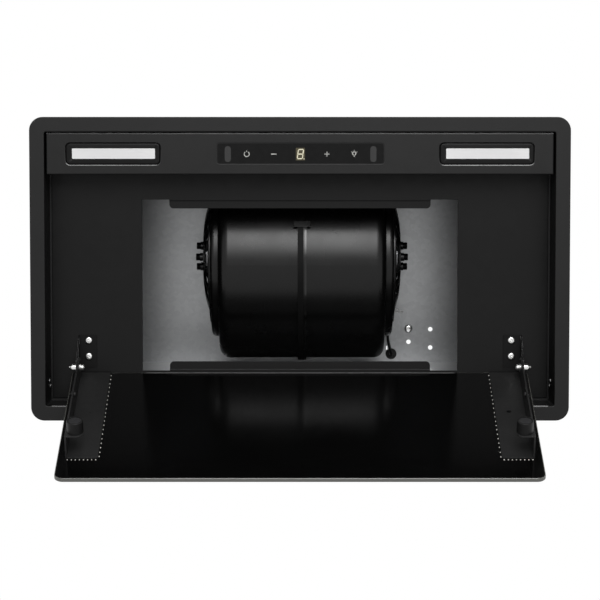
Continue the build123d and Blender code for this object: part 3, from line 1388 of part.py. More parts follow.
def motor_lead():
    points = lead_route()
    radii = bend_radii(points)
    print("lead radii", [round(r, 1) for r in radii])
    path = FilletPolyline(*points, radius=radii)
    start = Plane(origin=path @ 0, z_dir=path % 0)
    lead = sweep(start * Circle(LEAD_R), path)
    plain_volume = math.pi * LEAD_R**2 * path.length
    print("lead length", round(path.length, 1), "volume ratio", round(lead.volume / plain_volume, 6))
    return lead


def lead_grommet():
    low = CEILING_Z - GROMMET_LIP
    high = CASE_TOP + GROMMET_LIP
    centre = (GROMMET_X, GROMMET_Y)
    grommet = rod(GROMMET_R, (*centre, low), (*centre, CEILING_Z))
    grommet += rod(GROMMET_NECK_R, (*centre, CEILING_Z), (*centre, CASE_TOP))
    grommet += rod(GROMMET_R, (*centre, CASE_TOP), (*centre, high))
    return grommet - rod(LEAD_R + RUNNING_FIT, (*centre, low), (*centre, high))


def lead_tie():
    """Cable tie looped round the lead beside the housing, with its head and cut tail."""
    points = lead_route()
    a = Vector(*points[TIE_RUN_COUNT])
    b = Vector(*points[TIE_RUN_COUNT + 1])
    way = (b - a).normalized()
    across = Vector(1, 0, 0)
    middle = (a + b) / 2
    plane = Plane(origin=middle - way * (TIE_W / 2), x_dir=across - way * across.dot(way), z_dir=way)
    inner = LEAD_R + LOOSE_FIT
    shift = -TIE_LOOP / 2
    outline = Pos(shift, 0) * SlotCenterToCenter(TIE_LOOP, 2 * (inner + TIE_T))
    opening = Pos(shift, 0) * SlotCenterToCenter(TIE_LOOP, 2 * inner)
    loop = extrude(plane * (outline - opening), TIE_W)
    reach = inner + TIE_T / 2
    head = Pos(reach + TIE_HEAD / 2, 0) * Rectangle(TIE_HEAD, TIE_HEAD)
    tail = Pos(reach + TIE_HEAD + TIE_TAIL / 2, 0) * Rectangle(TIE_TAIL, TIE_T)
    return loop + extrude(plane * head, TIE_W) + extrude(plane * tail, TIE_W)


def main():
    os.makedirs("parts", exist_ok=True)
    save("flange_frame", flange_frame())
    save("fixing_clips", fixing_clips())
    save("fixing_clip_screws", fixing_clip_screws())
    save("floor_plate", floor_plate())
    save("control_strip", control_strip())
    save_pair("lamp_bezel", lamp_bezel())
    save_pair("lamp_lens", lamp_lens())
    save("lamp_boards", lamp_boards())
    save("control_glass", control_glass())
    save("control_housing", control_housing())
    save("display_board", display_board())
    save("touch_springs", touch_springs())
    save("casing_wrap", casing_wrap())
    save("casing_top", casing_top())
    save("casing_screws", casing_screws())
    save("earth_screw", earth_screw())
    save_pair("scroll", scroll(), BLOWER_X)
    save("seam_clips", seam_clips())
    save_pair("inlet_ring", inlet_ring(), BLOWER_X)
    save_pair("inlet_grille", inlet_grille(), BLOWER_X)
    save("hub_screws", hub_screws())
    save("axle_clamps", axle_clamps())
    save("hub_rubbers", hub_rubbers())
    save("motor_axle", motor_axle())
    save("motor_stator", motor_stator())
    save("rotor_can", rotor_can())
    save("rotor_cap", rotor_cap())
    save("bearings", bearings())
    save("impeller", impeller())
    save("glass_panel", glass_panel())
    save("panel_bracket_left", panel_bracket(-1))
    save("panel_bracket_right", panel_bracket(1))
    save_pair("magnet_cup", magnet_cup())
    save("magnet_discs", magnet_discs())
    save_pair("hinge_bracket", hinge_bracket())
    save("hinge_bracket_screws", hinge_bracket_screws())
    save("hinge_bolts", hinge_bolts())
    save("hinge_washers", hinge_washers())
    save("hinge_nuts", hinge_nuts())
    save("outlet_collar", outlet_collar())
    save("collar_screws", collar_screws())
    save("flap_pin", flap_pin())
    save("flap_front", flap_front())
    save("flap_rear", flap_rear())
    save("terminal_box", terminal_box())
    save("terminal_lid", terminal_lid())
    save("lid_screws", lid_screws())
    save("capacitor", capacitor())
    save("driver_board", driver_board())
    save("cable_gland", cable_gland())
    save("motor_lead", motor_lead())
    save("lead_grommet", lead_grommet())
    save("lead_tie", lead_tie())
    print("open angle", round(OPEN_DEG, 3), "pivot", PIVOT_Y, PIVOT_Z)


main()
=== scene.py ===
import json
import math
import random

import bmesh
import bpy
from mathutils import Matrix, Vector
from mathutils.bvhtree import BVHTree


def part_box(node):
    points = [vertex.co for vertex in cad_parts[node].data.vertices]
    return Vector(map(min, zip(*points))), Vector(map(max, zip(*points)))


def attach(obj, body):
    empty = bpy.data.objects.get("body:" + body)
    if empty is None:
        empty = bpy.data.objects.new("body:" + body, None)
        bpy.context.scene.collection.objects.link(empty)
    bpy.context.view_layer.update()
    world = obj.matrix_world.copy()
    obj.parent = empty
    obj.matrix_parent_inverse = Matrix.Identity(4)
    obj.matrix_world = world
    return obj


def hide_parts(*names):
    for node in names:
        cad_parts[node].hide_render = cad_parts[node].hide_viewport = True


# Looks of a built-in range hood seen from below with its glass panel open.
# All lengths are in metres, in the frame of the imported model: +Z up, control strip at -Y.

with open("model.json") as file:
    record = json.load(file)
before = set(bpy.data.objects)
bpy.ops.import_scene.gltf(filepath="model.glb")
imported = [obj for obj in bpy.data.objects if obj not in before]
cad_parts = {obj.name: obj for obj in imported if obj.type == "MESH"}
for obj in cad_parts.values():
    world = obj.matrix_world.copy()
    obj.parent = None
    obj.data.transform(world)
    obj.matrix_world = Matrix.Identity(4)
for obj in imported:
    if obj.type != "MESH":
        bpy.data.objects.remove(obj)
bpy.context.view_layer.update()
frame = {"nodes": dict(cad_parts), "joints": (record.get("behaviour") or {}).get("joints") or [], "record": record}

MM = 0.001

# Camera, fitted on the flange, strip, filter opening and open panel of the photograph
CAMERA_PLACE = (0.0, -0.127377, -2.275081)
CAMERA_TILT_DEG = 3.9463
CAMERA_LENS = 141.871
CAMERA_SENSOR = 36.0
CAMERA_CLIP = (0.05, 100.0)

# Floor and light
WHITE = (1.0, 1.0, 1.0, 1.0)
BACKGROUND_WHITE = 1.0
AMBIENT = 0.35
FLOOR_Z = -3.5
FLOOR_HALF = 40.0
FLOOR_COLOR = (0.86, 0.86, 0.86)
FLOOR_ROUGHNESS = 0.8
LIGHT_TARGET = (0.0, 0.0, 0.1)
KEY_DEG = 30.0
KEY_AWAY = 2.2
KEY_SHIFT = 0.12
KEY_W = 1.0
KEY_H = 1.46
KEY_BACK = 0.14
KEY_FALL = 0.49
KEY_RADIANCE = 9.0
SIDE_PLACE = (2.2, 0.2, 0.6)
SIDE_SIZE = 1.4
SIDE_RADIANCE = 0.8
TOP_PLACE = (0.0, 0.4, 2.6)
TOP_TARGET = (0.0, 0.0, 0.2)
TOP_SIZE = 2.0
TOP_RADIANCE = 1.4

# Finishes
BEVEL_SAMPLES = 6
MIX_COLORS = (6, 7)
MIX_RESULT = 2
# Pale edge flecks, partly wear and partly painted glints: on the hinge brackets below this height, on the panel
# brackets this far above their plates' lowest point
HINGE_WEAR_AND_GLINT_BELOW = 45.5 * MM
PLATE_WEAR_AND_GLINT_RISE = 2.5 * MM
LENS_X = 179.7 * MM
LENS_HALF_W = 40.5 * MM

# Profiles of rounded outlines: inset, height over a face and shift along Y, in mm
SEAT_STEPS = ((0.0, 0.0, 0.0), (0.06, -0.3, 0.0), (0.5, -0.1, -0.38), (0.55, 0.0, -0.38))
# The ring that fills the groove round a bezel is painted shadow.
SHADOW_GAP_STEPS = ((0.56, 0.0, -0.36), (0.56, -0.06, -0.36), (1.7, -0.06, -0.25), (1.7, 0.0, -0.25))
BEZEL_FOOT = ((1.6, 0.0, -0.25),)
BEZEL_STEPS = ((1.6, 0.3, -0.25), (1.7, 0.16, -0.25), (2.2, 0.02, -0.25), (2.4, 0.0, -0.25))
SLEEVE_STEP = ((2.2, 0.0, 0.0),)
RIM_STEPS = ((0.0, 0.0, 0.0), (0.1, -0.35, 0.0), (0.65, -0.26, 0.0), (1.3, -0.26, 0.0), (1.3, 0.0, 0.0))
LID_STEPS = ((14.0, -0.1, 0.0), (14.4, 0.7, 0.0), (15.8, 0.7, 0.0), (16.2, -0.1, 0.0))
LEAST_CORNER = 0.15 * MM

# Lamps and rim of the control window
STRIP_FACE_Z = 1.0 * MM
BEZEL_FACE_T = 0.6 * MM
BEZEL_CORNER = 5.0 * MM
BEZEL_EDGE = 0.12 * MM
SLEEVE_REACH = 1.95 * MM
LENS_LAP = (2.0 * MM, 1.8 * MM)
LENS_SHIFT = (0.6 * MM, -0.35 * MM)
WINDOW_CORNER = 0.8 * MM
RIM_W = 0.85 * MM
RIM_CORNER = 3.4 * MM

# Signs of the control window, each as thick as a print
GLASS_FACE_Z = 0.8 * MM
ICON_Y = -110.9 * MM
ICON_T = 0.04 * MM
POWER_X = -51.2 * MM
MINUS_X = -25.1 * MM
DIGIT_X = 0.4 * MM
PLUS_X = 25.9 * MM
BULB_X = 52.1 * MM
MARK_W = 0.72 * MM
POWER_R = 2.45 * MM
POWER_SHARE = 0.85
POWER_ARC_DEG = (-56, 292)
BULB_R = 1.6 * MM
BULB_Y = ICON_Y - 0.6 * MM
BULB_ARC_DEG = (108, 324)
RAY_DEGS = (-150, -90, -30)
RAY_R = 2.9 * MM
RAY_L = 1.0 * MM
RAY_SHARE = 0.6
PLUS_L = 5.0 * MM
PLUS_SHARE = 0.8
CROSS_DROP = 0.01 * MM
SLOT_XS = (-69.4 * MM, 70.5 * MM)
SLOT_W = 5.9 * MM
SLOT_H = 15.3 * MM
SLOT_ROUND = 0.48
BAR_ROUND = 0.49
FIGURE_W = 4.9 * MM
FIGURE_H = 8.8 * MM
FIGURE_LEAN = 0.13
SEGMENT_W = 0.98 * MM
SEGMENT_GAP = 0.08 * MM
FIELD_HALF = (4.35 * MM, 6.0 * MM)
FIELD_CORNER = 0.3 * MM
POINT_HALF = 0.5 * MM
POINT_CORNER = 0.48 * MM
POINT_SHIFT = (0.9 * MM, 0.2 * MM)
# Bars of the signs: X, shift along Y in mm, length in mm, width as a share of MARK_W, and turn in degrees
MARK_BARS = (
    (POWER_X, -2.75, 1.5, 0.7, 90),
    (MINUS_X, 0.0, 5.4, 1.1, 0),
    (PLUS_X, 0.0, PLUS_L / MM, PLUS_SHARE, 0),
    (BULB_X, 1.75, 1.4, 0.8, 0),
    (BULB_X, 2.5, 0.8, 0.5, 0),
)

# Round and threaded parts; a share is of the head's or nut's own size
SEGMENTS = 32
SMOOTH_DEG = 38.0
WELD = 1e-6
CHAMFER_DEG = 30.0
PAN_STEPS = 5
PAN_FLAT = 0.55
PAN_SIDE = 0.35
PAN_EDGE = 0.95
PAN_RISE = 0.95
PAN_FOOT = 0.08
PAN_TOP = 0.99
RECESS_MOUTH = (0.56, 0.13, 0.05, 1.1)
RECESS_FOOT = (0.26, 0.09, 0.04, 0.42)
RECESS_POINT = 0.36
THREAD_SEGMENTS = 20
THREAD_ROWS = 4
THREAD_CORE = 0.85
THREAD_POINT = 0.2
THREAD_ROOT = 0.2
THREAD_FLANK = 0.6
SCREW_PITCH = 1.27 * MM
BOLT_PITCH = 0.7 * MM
HUB_BOLT_PITCH = 0.8 * MM
BOLT_FACE = (0.98, 0.16)
BOLT_HEX = (0.2, 0.88)
BOLT_TOP = (0.93, 0.9)
BOLT_DISH = (0.45, 0.36, 0.86)
NUT_BORE = 1.8 * MM
EARTH_BORE = 2.05 * MM
NUT_LIMIT = 0.54
NUT_MOUTH = 1.12
COLLAR_SHARE = 0.3
COLLAR_SHOULDER = 0.3
COLLAR_RADII = (0.46, 0.45, 0.40)
COLLAR_MOUTH = 1.25

# Pale beads beside the brackets on the glass
BEAD_STEP_DOWN = 8.4 * MM
BEAD_STEP_ACROSS = 3.6 * MM
BEAD_HALF_W = 0.5 * MM
BEAD_HALF_L = 0.85 * MM
BEAD_H = 0.35 * MM
BEAD_SINK = 0.05 * MM
BEAD_OUT = 0.9 * MM
BEAD_DRIFT = 0.6 * MM
BEAD_LENGTHS = (0.7, 1.2)
BEAD_WIDTHS = (0.8, 1.1)
BEAD_SHOULDER = (0.75, 0.7)
BEAD_SEGMENTS = 10

# Painted highlight line on the glass's rear edge, and hems; each hem's section is in mm from its corner, as Y and
# Z
OPENING_HALF_W = 152 * MM
REAR_HIGHLIGHT_R = 0.55 * MM
REAR_HIGHLIGHT_SEGMENTS = 12
HEM_INSET = 0.6 * MM
STRIP_HEM = ((0.06, 0.34), (1.15, -0.02), (1.3, 0.1), (0.1, 0.9))
MOUTH_Y = 133.1 * MM
MOUTH_Z = -1.5 * MM
MOUTH_HALF_W = 240 * MM
MOUTH_HEM = ((0.0, 0.0), (-1.15, 0.3), (-1.15, 0.8), (0.0, 0.8))

# Seam of the blower's housing
BLOWER_AXIS = (-4.5 * MM, 160 * MM)
SEAM_X = 2.0 * MM
SEAM_PROBE = 20 * MM
SEAM_FAR = 200 * MM
SEAM_SINK = 0.3 * MM
SEAM_START_DEG = 248.0
SEAM_END_DEG = 352.0
SEAM_STEPS = 52
RIM_PROUD = 2.6 * MM
STRIP_SPAN = (-4.2 * MM, 1.4 * MM)
STRIP_PROUD = 0.35 * MM
LIP_SPAN = (2.5 * MM, 4.5 * MM)
LIP_PROUD = 0.2 * MM

# Moulded and pressed detail of the top side
FLAP_T = 1.2 * MM
FLAP_RIB_XS = (-36 * MM, -12 * MM, 12 * MM, 36 * MM)
FLAP_RIB_W = 1.2 * MM
FLAP_RIB_H = 0.8 * MM
FLAP_RIB_SINK = 0.1 * MM
FLAP_RIB_START = 8 * MM
FLAP_RIB_EDGE = 3 * MM
FLAP_ARC_START_DEG = 12
FLAP_ARC_DEG = 156
FLAP_ARC_STEPS = 40
GLAND_BORE = 3.6 * MM
GLAND_WALL = 2.0 * MM
GLAND_THREAD = 0.74
GLAND_FLATS = 1.72
GLAND_LIMIT = 0.985
GLAND_CHAMFER = 0.6
GLAND_NUT_H = 3.2 * MM
GLAND_NECK = 0.80
GLAND_DOME_FOOT = 3.4 * MM
# Depth below the gland's end, and radius as a share of the full one
GLAND_DOME = ((3.6 * MM, 0.84), (1.4 * MM, 0.72))
GLAND_CROWN = ((0.3 * MM, 0.56), (0.0, 0.50))
GLAND_SEAL_W = 0.9 * MM
GLAND_SEAL_DEPTH = 1.2 * MM
GLAND_SMOOTH_DEG = 30.0
FLUTE_SHARE = 0.955
LID_CORNER = 18 * MM
LID_RIBS = 5
LID_RIB_PITCH = 12 * MM
LID_RIB_W = 1.2 * MM
LID_RIB_SHARE = 1.2
LID_RIB_SINK = 0.1 * MM
LID_RIB_H = 0.6 * MM
SHEET_T = 1.0 * MM
WELD_INSET = 3.4 * MM
WELD_PITCH = 60 * MM
WELD_SEGMENTS = 20
WELD_SINK = 0.02 * MM
WELD_DISH = 0.05 * MM
WELD_RINGS = ((2.4 * MM, -WELD_SINK), (2.1 * MM, 0.12 * MM), (1.3 * MM, WELD_DISH))


def fill(node, **values):
    """Sets constants on a node's sockets; an underscore stands for a space of a socket's name."""
    for socket, value in values.items():
        node.inputs[socket.replace("_", " ")].default_value = value
    return node


def add_node(tree, kind, operation=None, **values):
    """A new shader node, with its operation and the constants of its sockets."""
    node = tree.nodes.new("ShaderNode" + kind)
    if operation:
        node.operation = operation
    return fill(node, **values)


class Finish:
    """A procedural material: its node tree, its Principled shader and the piece's own coordinates."""

    def __init__(self, name, color, roughness, metallic=0.0, specular=0.5):
        self.material = bpy.data.materials.new(name)
        self.material.use_nodes = True
        self.tree = self.material.node_tree
        self.shader = self.tree.nodes["Principled BSDF"]
        fill(self.shader, Base_Color=(*color, 1.0), Roughness=roughness, Metallic=metallic)
        fill(self.shader, Specular_IOR_Level=specular)
        self.place = self.node("TexCoord").outputs["Object"]

    def node(self, kind, operation=None, **values):
        return add_node(self.tree, kind, operation, **values)

    def link(self, output, node, socket):
        self.tree.links.new(output, node.inputs[socket])

    def put(self, value, node, index):
        """Links an output to a node's socket, or sets a constant there."""
        if hasattr(value, "is_linked"):
            self.link(value, node, index)
        else:
            node.inputs[index].default_value = value

    def noise(self, size, detail=3.0, roughness=0.55, stretch=(1.0, 1.0, 1.0)):
        """Noise whose features are about size metres across."""
        mapping = self.node("Mapping", Scale=stretch)
        self.link(self.place, mapping, "Vector")
        node = self.node("TexNoise", Scale=1.0 / size, Detail=detail, Roughness=roughness)
        self.link(mapping.outputs["Vector"], node, "Vector")
        return node.outputs["Fac"]

    def cells(self, size, feature="F1", output="Color"):
        node = self.node("TexVoronoi", Scale=1.0 / size)
        node.feature = feature
        self.link(self.place, node, "Vector")
        return node.outputs[output]

    def ramp(self, value, first, last, start=0.3, end=0.7):
        """Runs from one colour or grey to another between two levels of a value."""
        node = self.node("ValToRGB")
        for point, position, color in zip(node.color_ramp.elements, (start, end), (first, last)):
            point.position = position
            point.color = (*color, 1.0) if hasattr(color, "__len__") else (color, color, color, 1.0)
        self.link(value, node, "Fac")
        return node.outputs["Color"]

    def math(self, operation, first, second=0.5):
        node = self.node("Math", operation)
        self.put(first, node, 0)
        self.put(second, node, 1)
        return node.outputs["Value"]

    def dot(self, first, second):
        """How far two directions agree."""
        node = self.node("VectorMath", "DOT_PRODUCT")
        self.put(first, node, 0)
        self.put(second, node, 1)
        return node.outputs["Value"]

    def mix(self, factor, first, second):
        """Blend of two colours, from the first to the second."""
        node = self.node("Mix")
        node.data_type = "RGBA"
        self.link(factor, node, 0)
        for index, value in zip(MIX_COLORS, (first, second)):
            self.put(value if hasattr(value, "is_linked") else (*value, 1.0), node, index)
        return node.outputs[MIX_RESULT]

    def color(self, output):
        self.link(output, self.shader, "Base Color")

    def rough(self, output):
        self.link(output, self.shader, "Roughness")

    def beyond(self, way, distance):
        """1 where a point lies further than a distance along a direction, else 0."""
        return self.math("GREATER_THAN", self.dot(self.place, way), distance)

    def bevel(self, radius):
        """The normal as rounded edges would turn it."""
        node = self.node("Bevel", Radius=radius)
        node.samples = BEVEL_SAMPLES
        return node.outputs["Normal"]

    def edges(self, radius, start, end):
        """How near a point is to an outer edge: a wide bevel turns the true normal away there."""
        turned = self.dot(self.bevel(radius), self.node("NewGeometry").outputs["Normal"])
        return self.ramp(turned, 1.0, 0.0, start, end)

    def polish(self, roughness, radius, edge_roughness):
        """Roughness that drops towards the edges."""
        self.rough(self.mix(self.edges(radius, 0.6, 0.99), roughness, (edge_roughness,) * 3))

    def surface(self, height, strength, distance, edge=0.0):
        """Bump from a height, over edges rounded by a small bevel."""
        bump = self.node("Bump", Strength=strength, Distance=distance)
        self.link(height, bump, "Height")
        if edge:
            self.link(self.bevel(edge), bump, "Normal")
        self.link(bump.outputs["Normal"], self.shader, "Normal")


def shade(tint, share):
    """A colour made darker or lighter by a share."""
    return tuple(value * share for value in tint)


def painted(name, tone, roughness, edge, specular, polished=0.24, wear_and_glint_beyond=None, bare_and_glint_tone=0.75):
    """Fine powder coat: orange peel, faint mottling, polished patches, dust, and pale flecks on chosen edges,
    partly chipped paint and partly painted glints.
    """
    finish = Finish(name, (tone,) * 3, roughness, specular=specular)
    coat = finish.ramp(finish.noise(45 * MM, 4.0), tone * 0.88, tone * 1.12)
    specks = finish.ramp(finish.noise(0.9 * MM, 2.0, 0.5), 0.0, 0.35, 0.70, 0.80)
    coat = finish.mix(specks, coat, (tone * 2.2,) * 3)
    # Pale flecks on the masked edges: partly chipped paint, partly painted glints.
    if wear_and_glint_beyond:
        chip_and_glint_flecks = finish.ramp(finish.noise(2.2 * MM, 3.0, 0.7), 0.0, 1.0, 0.44, 0.56)
        chip_and_glint_flecks = finish.math("MULTIPLY", chip_and_glint_flecks, finish.beyond(*wear_and_glint_beyond))
        wear_and_glint_mask = finish.math("MULTIPLY", finish.edges(0.4 * MM, 0.7, 0.99), chip_and_glint_flecks)
        coat = finish.mix(wear_and_glint_mask, coat, (bare_and_glint_tone,) * 3)
    finish.color(coat)
    gloss = finish.ramp(finish.noise(9 * MM, 3.0), roughness - 0.04, roughness + 0.05)
    finish.polish(gloss, 2 * edge, polished)
    finish.surface(finish.noise(0.55 * MM, 2.0, 0.5), 0.22, 0.00006, edge)
    return finish.material


def moulded(name, tone, roughness, edge, specular=0.4, smooth=False):
    """Moulded plastic with soft flow marks, and a fine spark-eroded texture where it isn't smooth."""
    finish = Finish(name, (tone,) * 3, roughness, specular=specular)
    flow = finish.noise(30 * MM, 3.0, 0.5, (1.0, 0.4, 1.0))
    finish.color(finish.ramp(flow, tone * 0.85, tone * 1.15))
    handled = finish.noise(40 * MM if smooth else 4 * MM, 3.0)
    finish.rough(finish.ramp(handled, roughness - 0.03, roughness + 0.05))
    if smooth:
        finish.surface(finish.noise(25 * MM, 1.0, 0.3), 0.03, 0.0001, edge)
    else:
        finish.surface(finish.noise(0.35 * MM, 2.0, 0.6), 0.25, 0.00005, edge)
    return finish.material


def galvanised():
    """Zinc-coated sheet: faint spangle with its own tone, rolling lines, and dust with its own gloss."""
    finish = Finish("galvanised", (0.34, 0.345, 0.35), 0.34, metallic=0.9)
    grey = finish.node("SeparateColor")
    finish.link(finish.cells(4 * MM), grey, "Color")
    cell_tone = finish.ramp(grey.outputs["Red"], (0.255, 0.260, 0.265), (0.290, 0.295, 0.300), 0.0, 1.0)
    dust = finish.noise(1.4 * MM, 4.0, 0.7)
    finish.color(finish.mix(finish.math("MULTIPLY", dust, 0.2), cell_tone, (0.42, 0.42, 0.42)))
    finish.rough(finish.ramp(dust, 0.275, 0.30))
    lines = finish.noise(1.1 * MM, 2.0, 0.5, (1.0, 0.04, 1.0))
    height = finish.math("ADD", lines, finish.math("MULTIPLY", dust, 0.6))
    finish.surface(height, 0.25, 0.00008, 0.25 * MM)
    return finish.material


def plated(name, tint, roughness):
    """Zinc or nickel plated steel with faint turning marks."""
    finish = Finish(name, tint, roughness, metallic=1.0)
    finish.color(finish.ramp(finish.noise(2.5 * MM, 3.0), shade(tint, 0.82), tint, 0.35, 0.65))
    finish.rough(finish.ramp(finish.noise(0.8 * MM, 2.0), roughness * 0.8, roughness * 1.3))
    finish.surface(finish.noise(0.25 * MM, 2.0), 0.12, 0.00003, 0.12 * MM)
    return finish.material


def cast_alloy():
    """Die-cast alloy with a fine pitted skin."""
    tint = (0.55, 0.55, 0.56)
    finish = Finish("cast_alloy", tint, 0.48, metallic=0.9)
    pits = finish.noise(0.9 * MM, 4.0, 0.65)
    finish.color(finish.ramp(pits, shade(tint, 0.8), tint))
    finish.surface(pits, 0.3, 0.0001, 0.3 * MM)
    return finish.material


def frosted_lens():
    """White diffuser with a fine prism grain, a little paler towards its ends as painted light."""
    finish = Finish("lens_white", (0.72, 0.72, 0.72), 0.35)
    grain = finish.noise(0.5 * MM, 2.0)
    tone = finish.ramp(grain, (0.74, 0.74, 0.745), (0.79, 0.79, 0.79))
    split = finish.node("SeparateXYZ")
    finish.link(finish.place, split, "Vector")
    from_middle = finish.math("SUBTRACT", finish.math("ABSOLUTE", split.outputs["X"]), LENS_X)
    share = finish.math("DIVIDE", finish.math("ABSOLUTE", from_middle), LENS_HALF_W)
    # Paler towards the ends: painted light.
    finish.color(finish.mix(finish.ramp(share, 0.0, 1.0, 0.55, 0.97), tone, (0.80, 0.80, 0.80)))
    finish.surface(grain, 0.15, 0.00005, 0.2 * MM)
    fill(finish.shader, Subsurface_Weight=0.15, Subsurface_Radius=(3 * MM, 3 * MM, 3 * MM))
    return finish.material


def smoked_window():
    """Smoked control window: smooth gloss with the faintest mottling of its back print."""
    finish = Finish("control_black", (0.006, 0.006, 0.006), 0.12, specular=0.12)
    finish.color(finish.ramp(finish.noise(6 * MM, 3.0), 0.005, 0.007))
    finish.rough(finish.ramp(finish.noise(3 * MM, 3.0), 0.10, 0.16))
    finish.surface(finish.noise(1.5 * MM, 2.0), 0.02, 0.00002, 0.15 * MM)
    return finish.material


def panel_glass():
    """Black back-painted glass with ends and arrises frosted by grinding, told from its faces by the normals; the
    pale arrises are partly this frosting and partly a painted highlight.
    """
    black = (0.0018, 0.0018, 0.0018)
    finish = Finish("panel_glass", black, 0.15, specular=0.42)
    flat = finish.math("ABSOLUTE", finish.dot(finish.place.node.outputs["Normal"], INWARD))
    end_face = finish.ramp(flat, 1.0, 0.0, 0.5, 0.8)
    edge = finish.math("MAXIMUM", end_face, finish.edges(1.3 * MM, 0.82, 0.98))
    end_tone = finish.ramp(finish.noise(0.4 * MM, 3.0), (0.11, 0.11, 0.10), (0.17, 0.17, 0.16))
    # Pale ends and paler arrises: frosted glass, and along the arrises also a painted highlight.
    ground_and_highlight = finish.mix(end_face, (0.36, 0.36, 0.33), end_tone)
    dust = finish.ramp(finish.noise(0.5 * MM, 3.0, 0.7), black, (0.005, 0.005, 0.005), 0.68, 0.80)
    finish.color(finish.mix(edge, dust, ground_and_highlight))
    smear = finish.ramp(finish.noise(60 * MM, 4.0, 0.6), 0.12, 0.18, 0.35, 0.7)
    finish.rough(finish.mix(edge, smear, (0.45, 0.45, 0.45)))
    return finish.material


def wound():
    """Laminated core: thin stacked sheets across the axis, with copper-coloured lacquer over them."""
    finish = Finish("winding", (0.40, 0.22, 0.10), 0.4, 0.6)
    waves = finish.node("TexWave", Scale=250.0, Distortion=0.4)
    waves.bands_direction = "X"
    finish.link(finish.place, waves, "Vector")
    finish.color(finish.ramp(waves.outputs["Fac"], (0.20, 0.10, 0.05), (0.48, 0.27, 0.12), 0.2, 0.8))
    finish.surface(waves.outputs["Fac"], 0.5, 0.0002)
    return finish.material


def circuit_board():
    """Green solder mask over paler tracks."""
    finish = Finish("board_green", (0.03, 0.12, 0.05), 0.35)
    tracks = finish.cells(2.2 * MM, "DISTANCE_TO_EDGE", "Distance")
    finish.color(finish.ramp(tracks, (0.06, 0.22, 0.10), (0.02, 0.10, 0.045), 0.04, 0.10))
    finish.surface(tracks, 0.2, 0.00005)
    return finish.material


def matt_rubber(name, tone, roughness, grain=0.7 * MM, specular=0.35):
    """Matt rubber or lacquer with dust in its grain."""
    finish = Finish(name, (tone,) * 3, roughness, specular=specular)
    finish.color(finish.ramp(finish.noise(5 * MM, 4.0, 0.65), tone * 0.8, tone * 1.5, 0.35, 0.75))
    finish.surface(finish.noise(grain, 3.0), 0.3, 0.00008, 0.2 * MM)
    return finish.material


def print_with_glow(name, tint, strength, roughness=0.4):
    """A mark behind the control window, with a glow of its own: the display's figure is lit, while on the key
    symbols, the display field and the slots the glow is painted light.
    """
    finish = Finish(name, tint, roughness, specular=0.1)
    finish.color(finish.ramp(finish.noise(0.3 * MM, 2.0), shade(tint, 0.85), tint))
    # Glow: a lit display on the figure, painted light on the other marks.
    fill(finish.shader, Emission_Color=(*tint, 1.0), Emission_Strength=strength)
    return finish.material


def pale_bead_finish():
    """Pale, a little yellowish, with a fine grain."""
    finish = Finish("pale_bead_finish", (0.5, 0.48, 0.42), 0.45)
    finish.color(finish.ramp(finish.noise(1.5 * MM, 3.0), (0.70, 0.68, 0.62), (0.90, 0.88, 0.83)))
    finish.surface(finish.noise(0.3 * MM, 2.0), 0.2, 0.00004)
    return finish.material


# The panel's hinge line, and the two directions of its open glass
hinge = next(joint for joint in frame["joints"] if joint["name"] == "panel_hinge")
open_turn = math.radians(hinge["range_deg"][0])
PIVOT = Vector(hinge["pos_m"])
INWARD = Vector((0.0, math.sin(open_turn), math.cos(open_turn)))
ALONG = Vector((0.0, -math.cos(open_turn), math.sin(open_turn)))
plate_points = [vertex.co for vertex in frame["nodes"]["panel_bracket_left"].data.vertices]
PLATE_WEAR_AND_GLINT_ABOVE = min(point.dot(INWARD) for point in plate_points) + PLATE_WEAR_AND_GLINT_RISE

# Tone, roughness, edge radius, specular level, roughness at the edges, then where pale flecks lie on the edges,
# partly wear and partly painted glints, and how pale they are
PAINTS = {
    "powder_black": (0.0075, 0.42, 0.7 * MM, 0.22),
    "floor_black": (0.002, 0.35, 0.9 * MM, 0.17),
    "strip_black": (0.006, 0.36, 0.45 * MM, 0.22),
    "rim_black": (0.007, 0.26, 0.1 * MM, 0.62),
    "faint_rim_black": (0.007, 0.36, 0.1 * MM, 0.2, 0.4),
    "bracket_black": (0.014, 0.45, 0.25 * MM, 0.32, 0.4),
    "plate_black": (0.015, 0.45, 0.25 * MM, 0.32, 0.42, (INWARD, PLATE_WEAR_AND_GLINT_ABOVE), 0.10),
    "hinge_black": (0.004, 0.48, 0.1 * MM, 0.11, 0.48, ((0, 0, -1), -HINGE_WEAR_AND_GLINT_BELOW)),
    "bolt_black": (0.001, 0.4, 0.2 * MM, 0.05, 0.4),
}
# Tone, roughness, edge radius, specular level, and whether it is smooth
PLASTICS = {
    "tie_white": (0.80, 0.35, 0.1 * MM, 0.5),
    "blower_plastic": (0.003, 0.27, 0.6 * MM, 0.26, True),
    "lip_gloss": (0.003, 0.14, 0.1 * MM, 0.42, True),
    "seam_matt": (0.006, 0.5, 0.3 * MM, 0.07),
    "bezel_black": (0.004, 0.32, 0.2 * MM, 0.13),
    "box_plastic": (0.016, 0.42, 0.4 * MM),
    "white_plastic": (0.72, 0.45, 0.15 * MM),
}
# Tint and roughness
PLATINGS = {
    "screw_zinc": ((0.80, 0.80, 0.79), 0.26),
    "screw_dark": ((0.20, 0.20, 0.20), 0.35),
    "steel": ((0.58, 0.58, 0.59), 0.32),
    "spring_steel": ((0.50, 0.50, 0.51), 0.35),
    "magnet": ((0.12, 0.12, 0.125), 0.35),
}
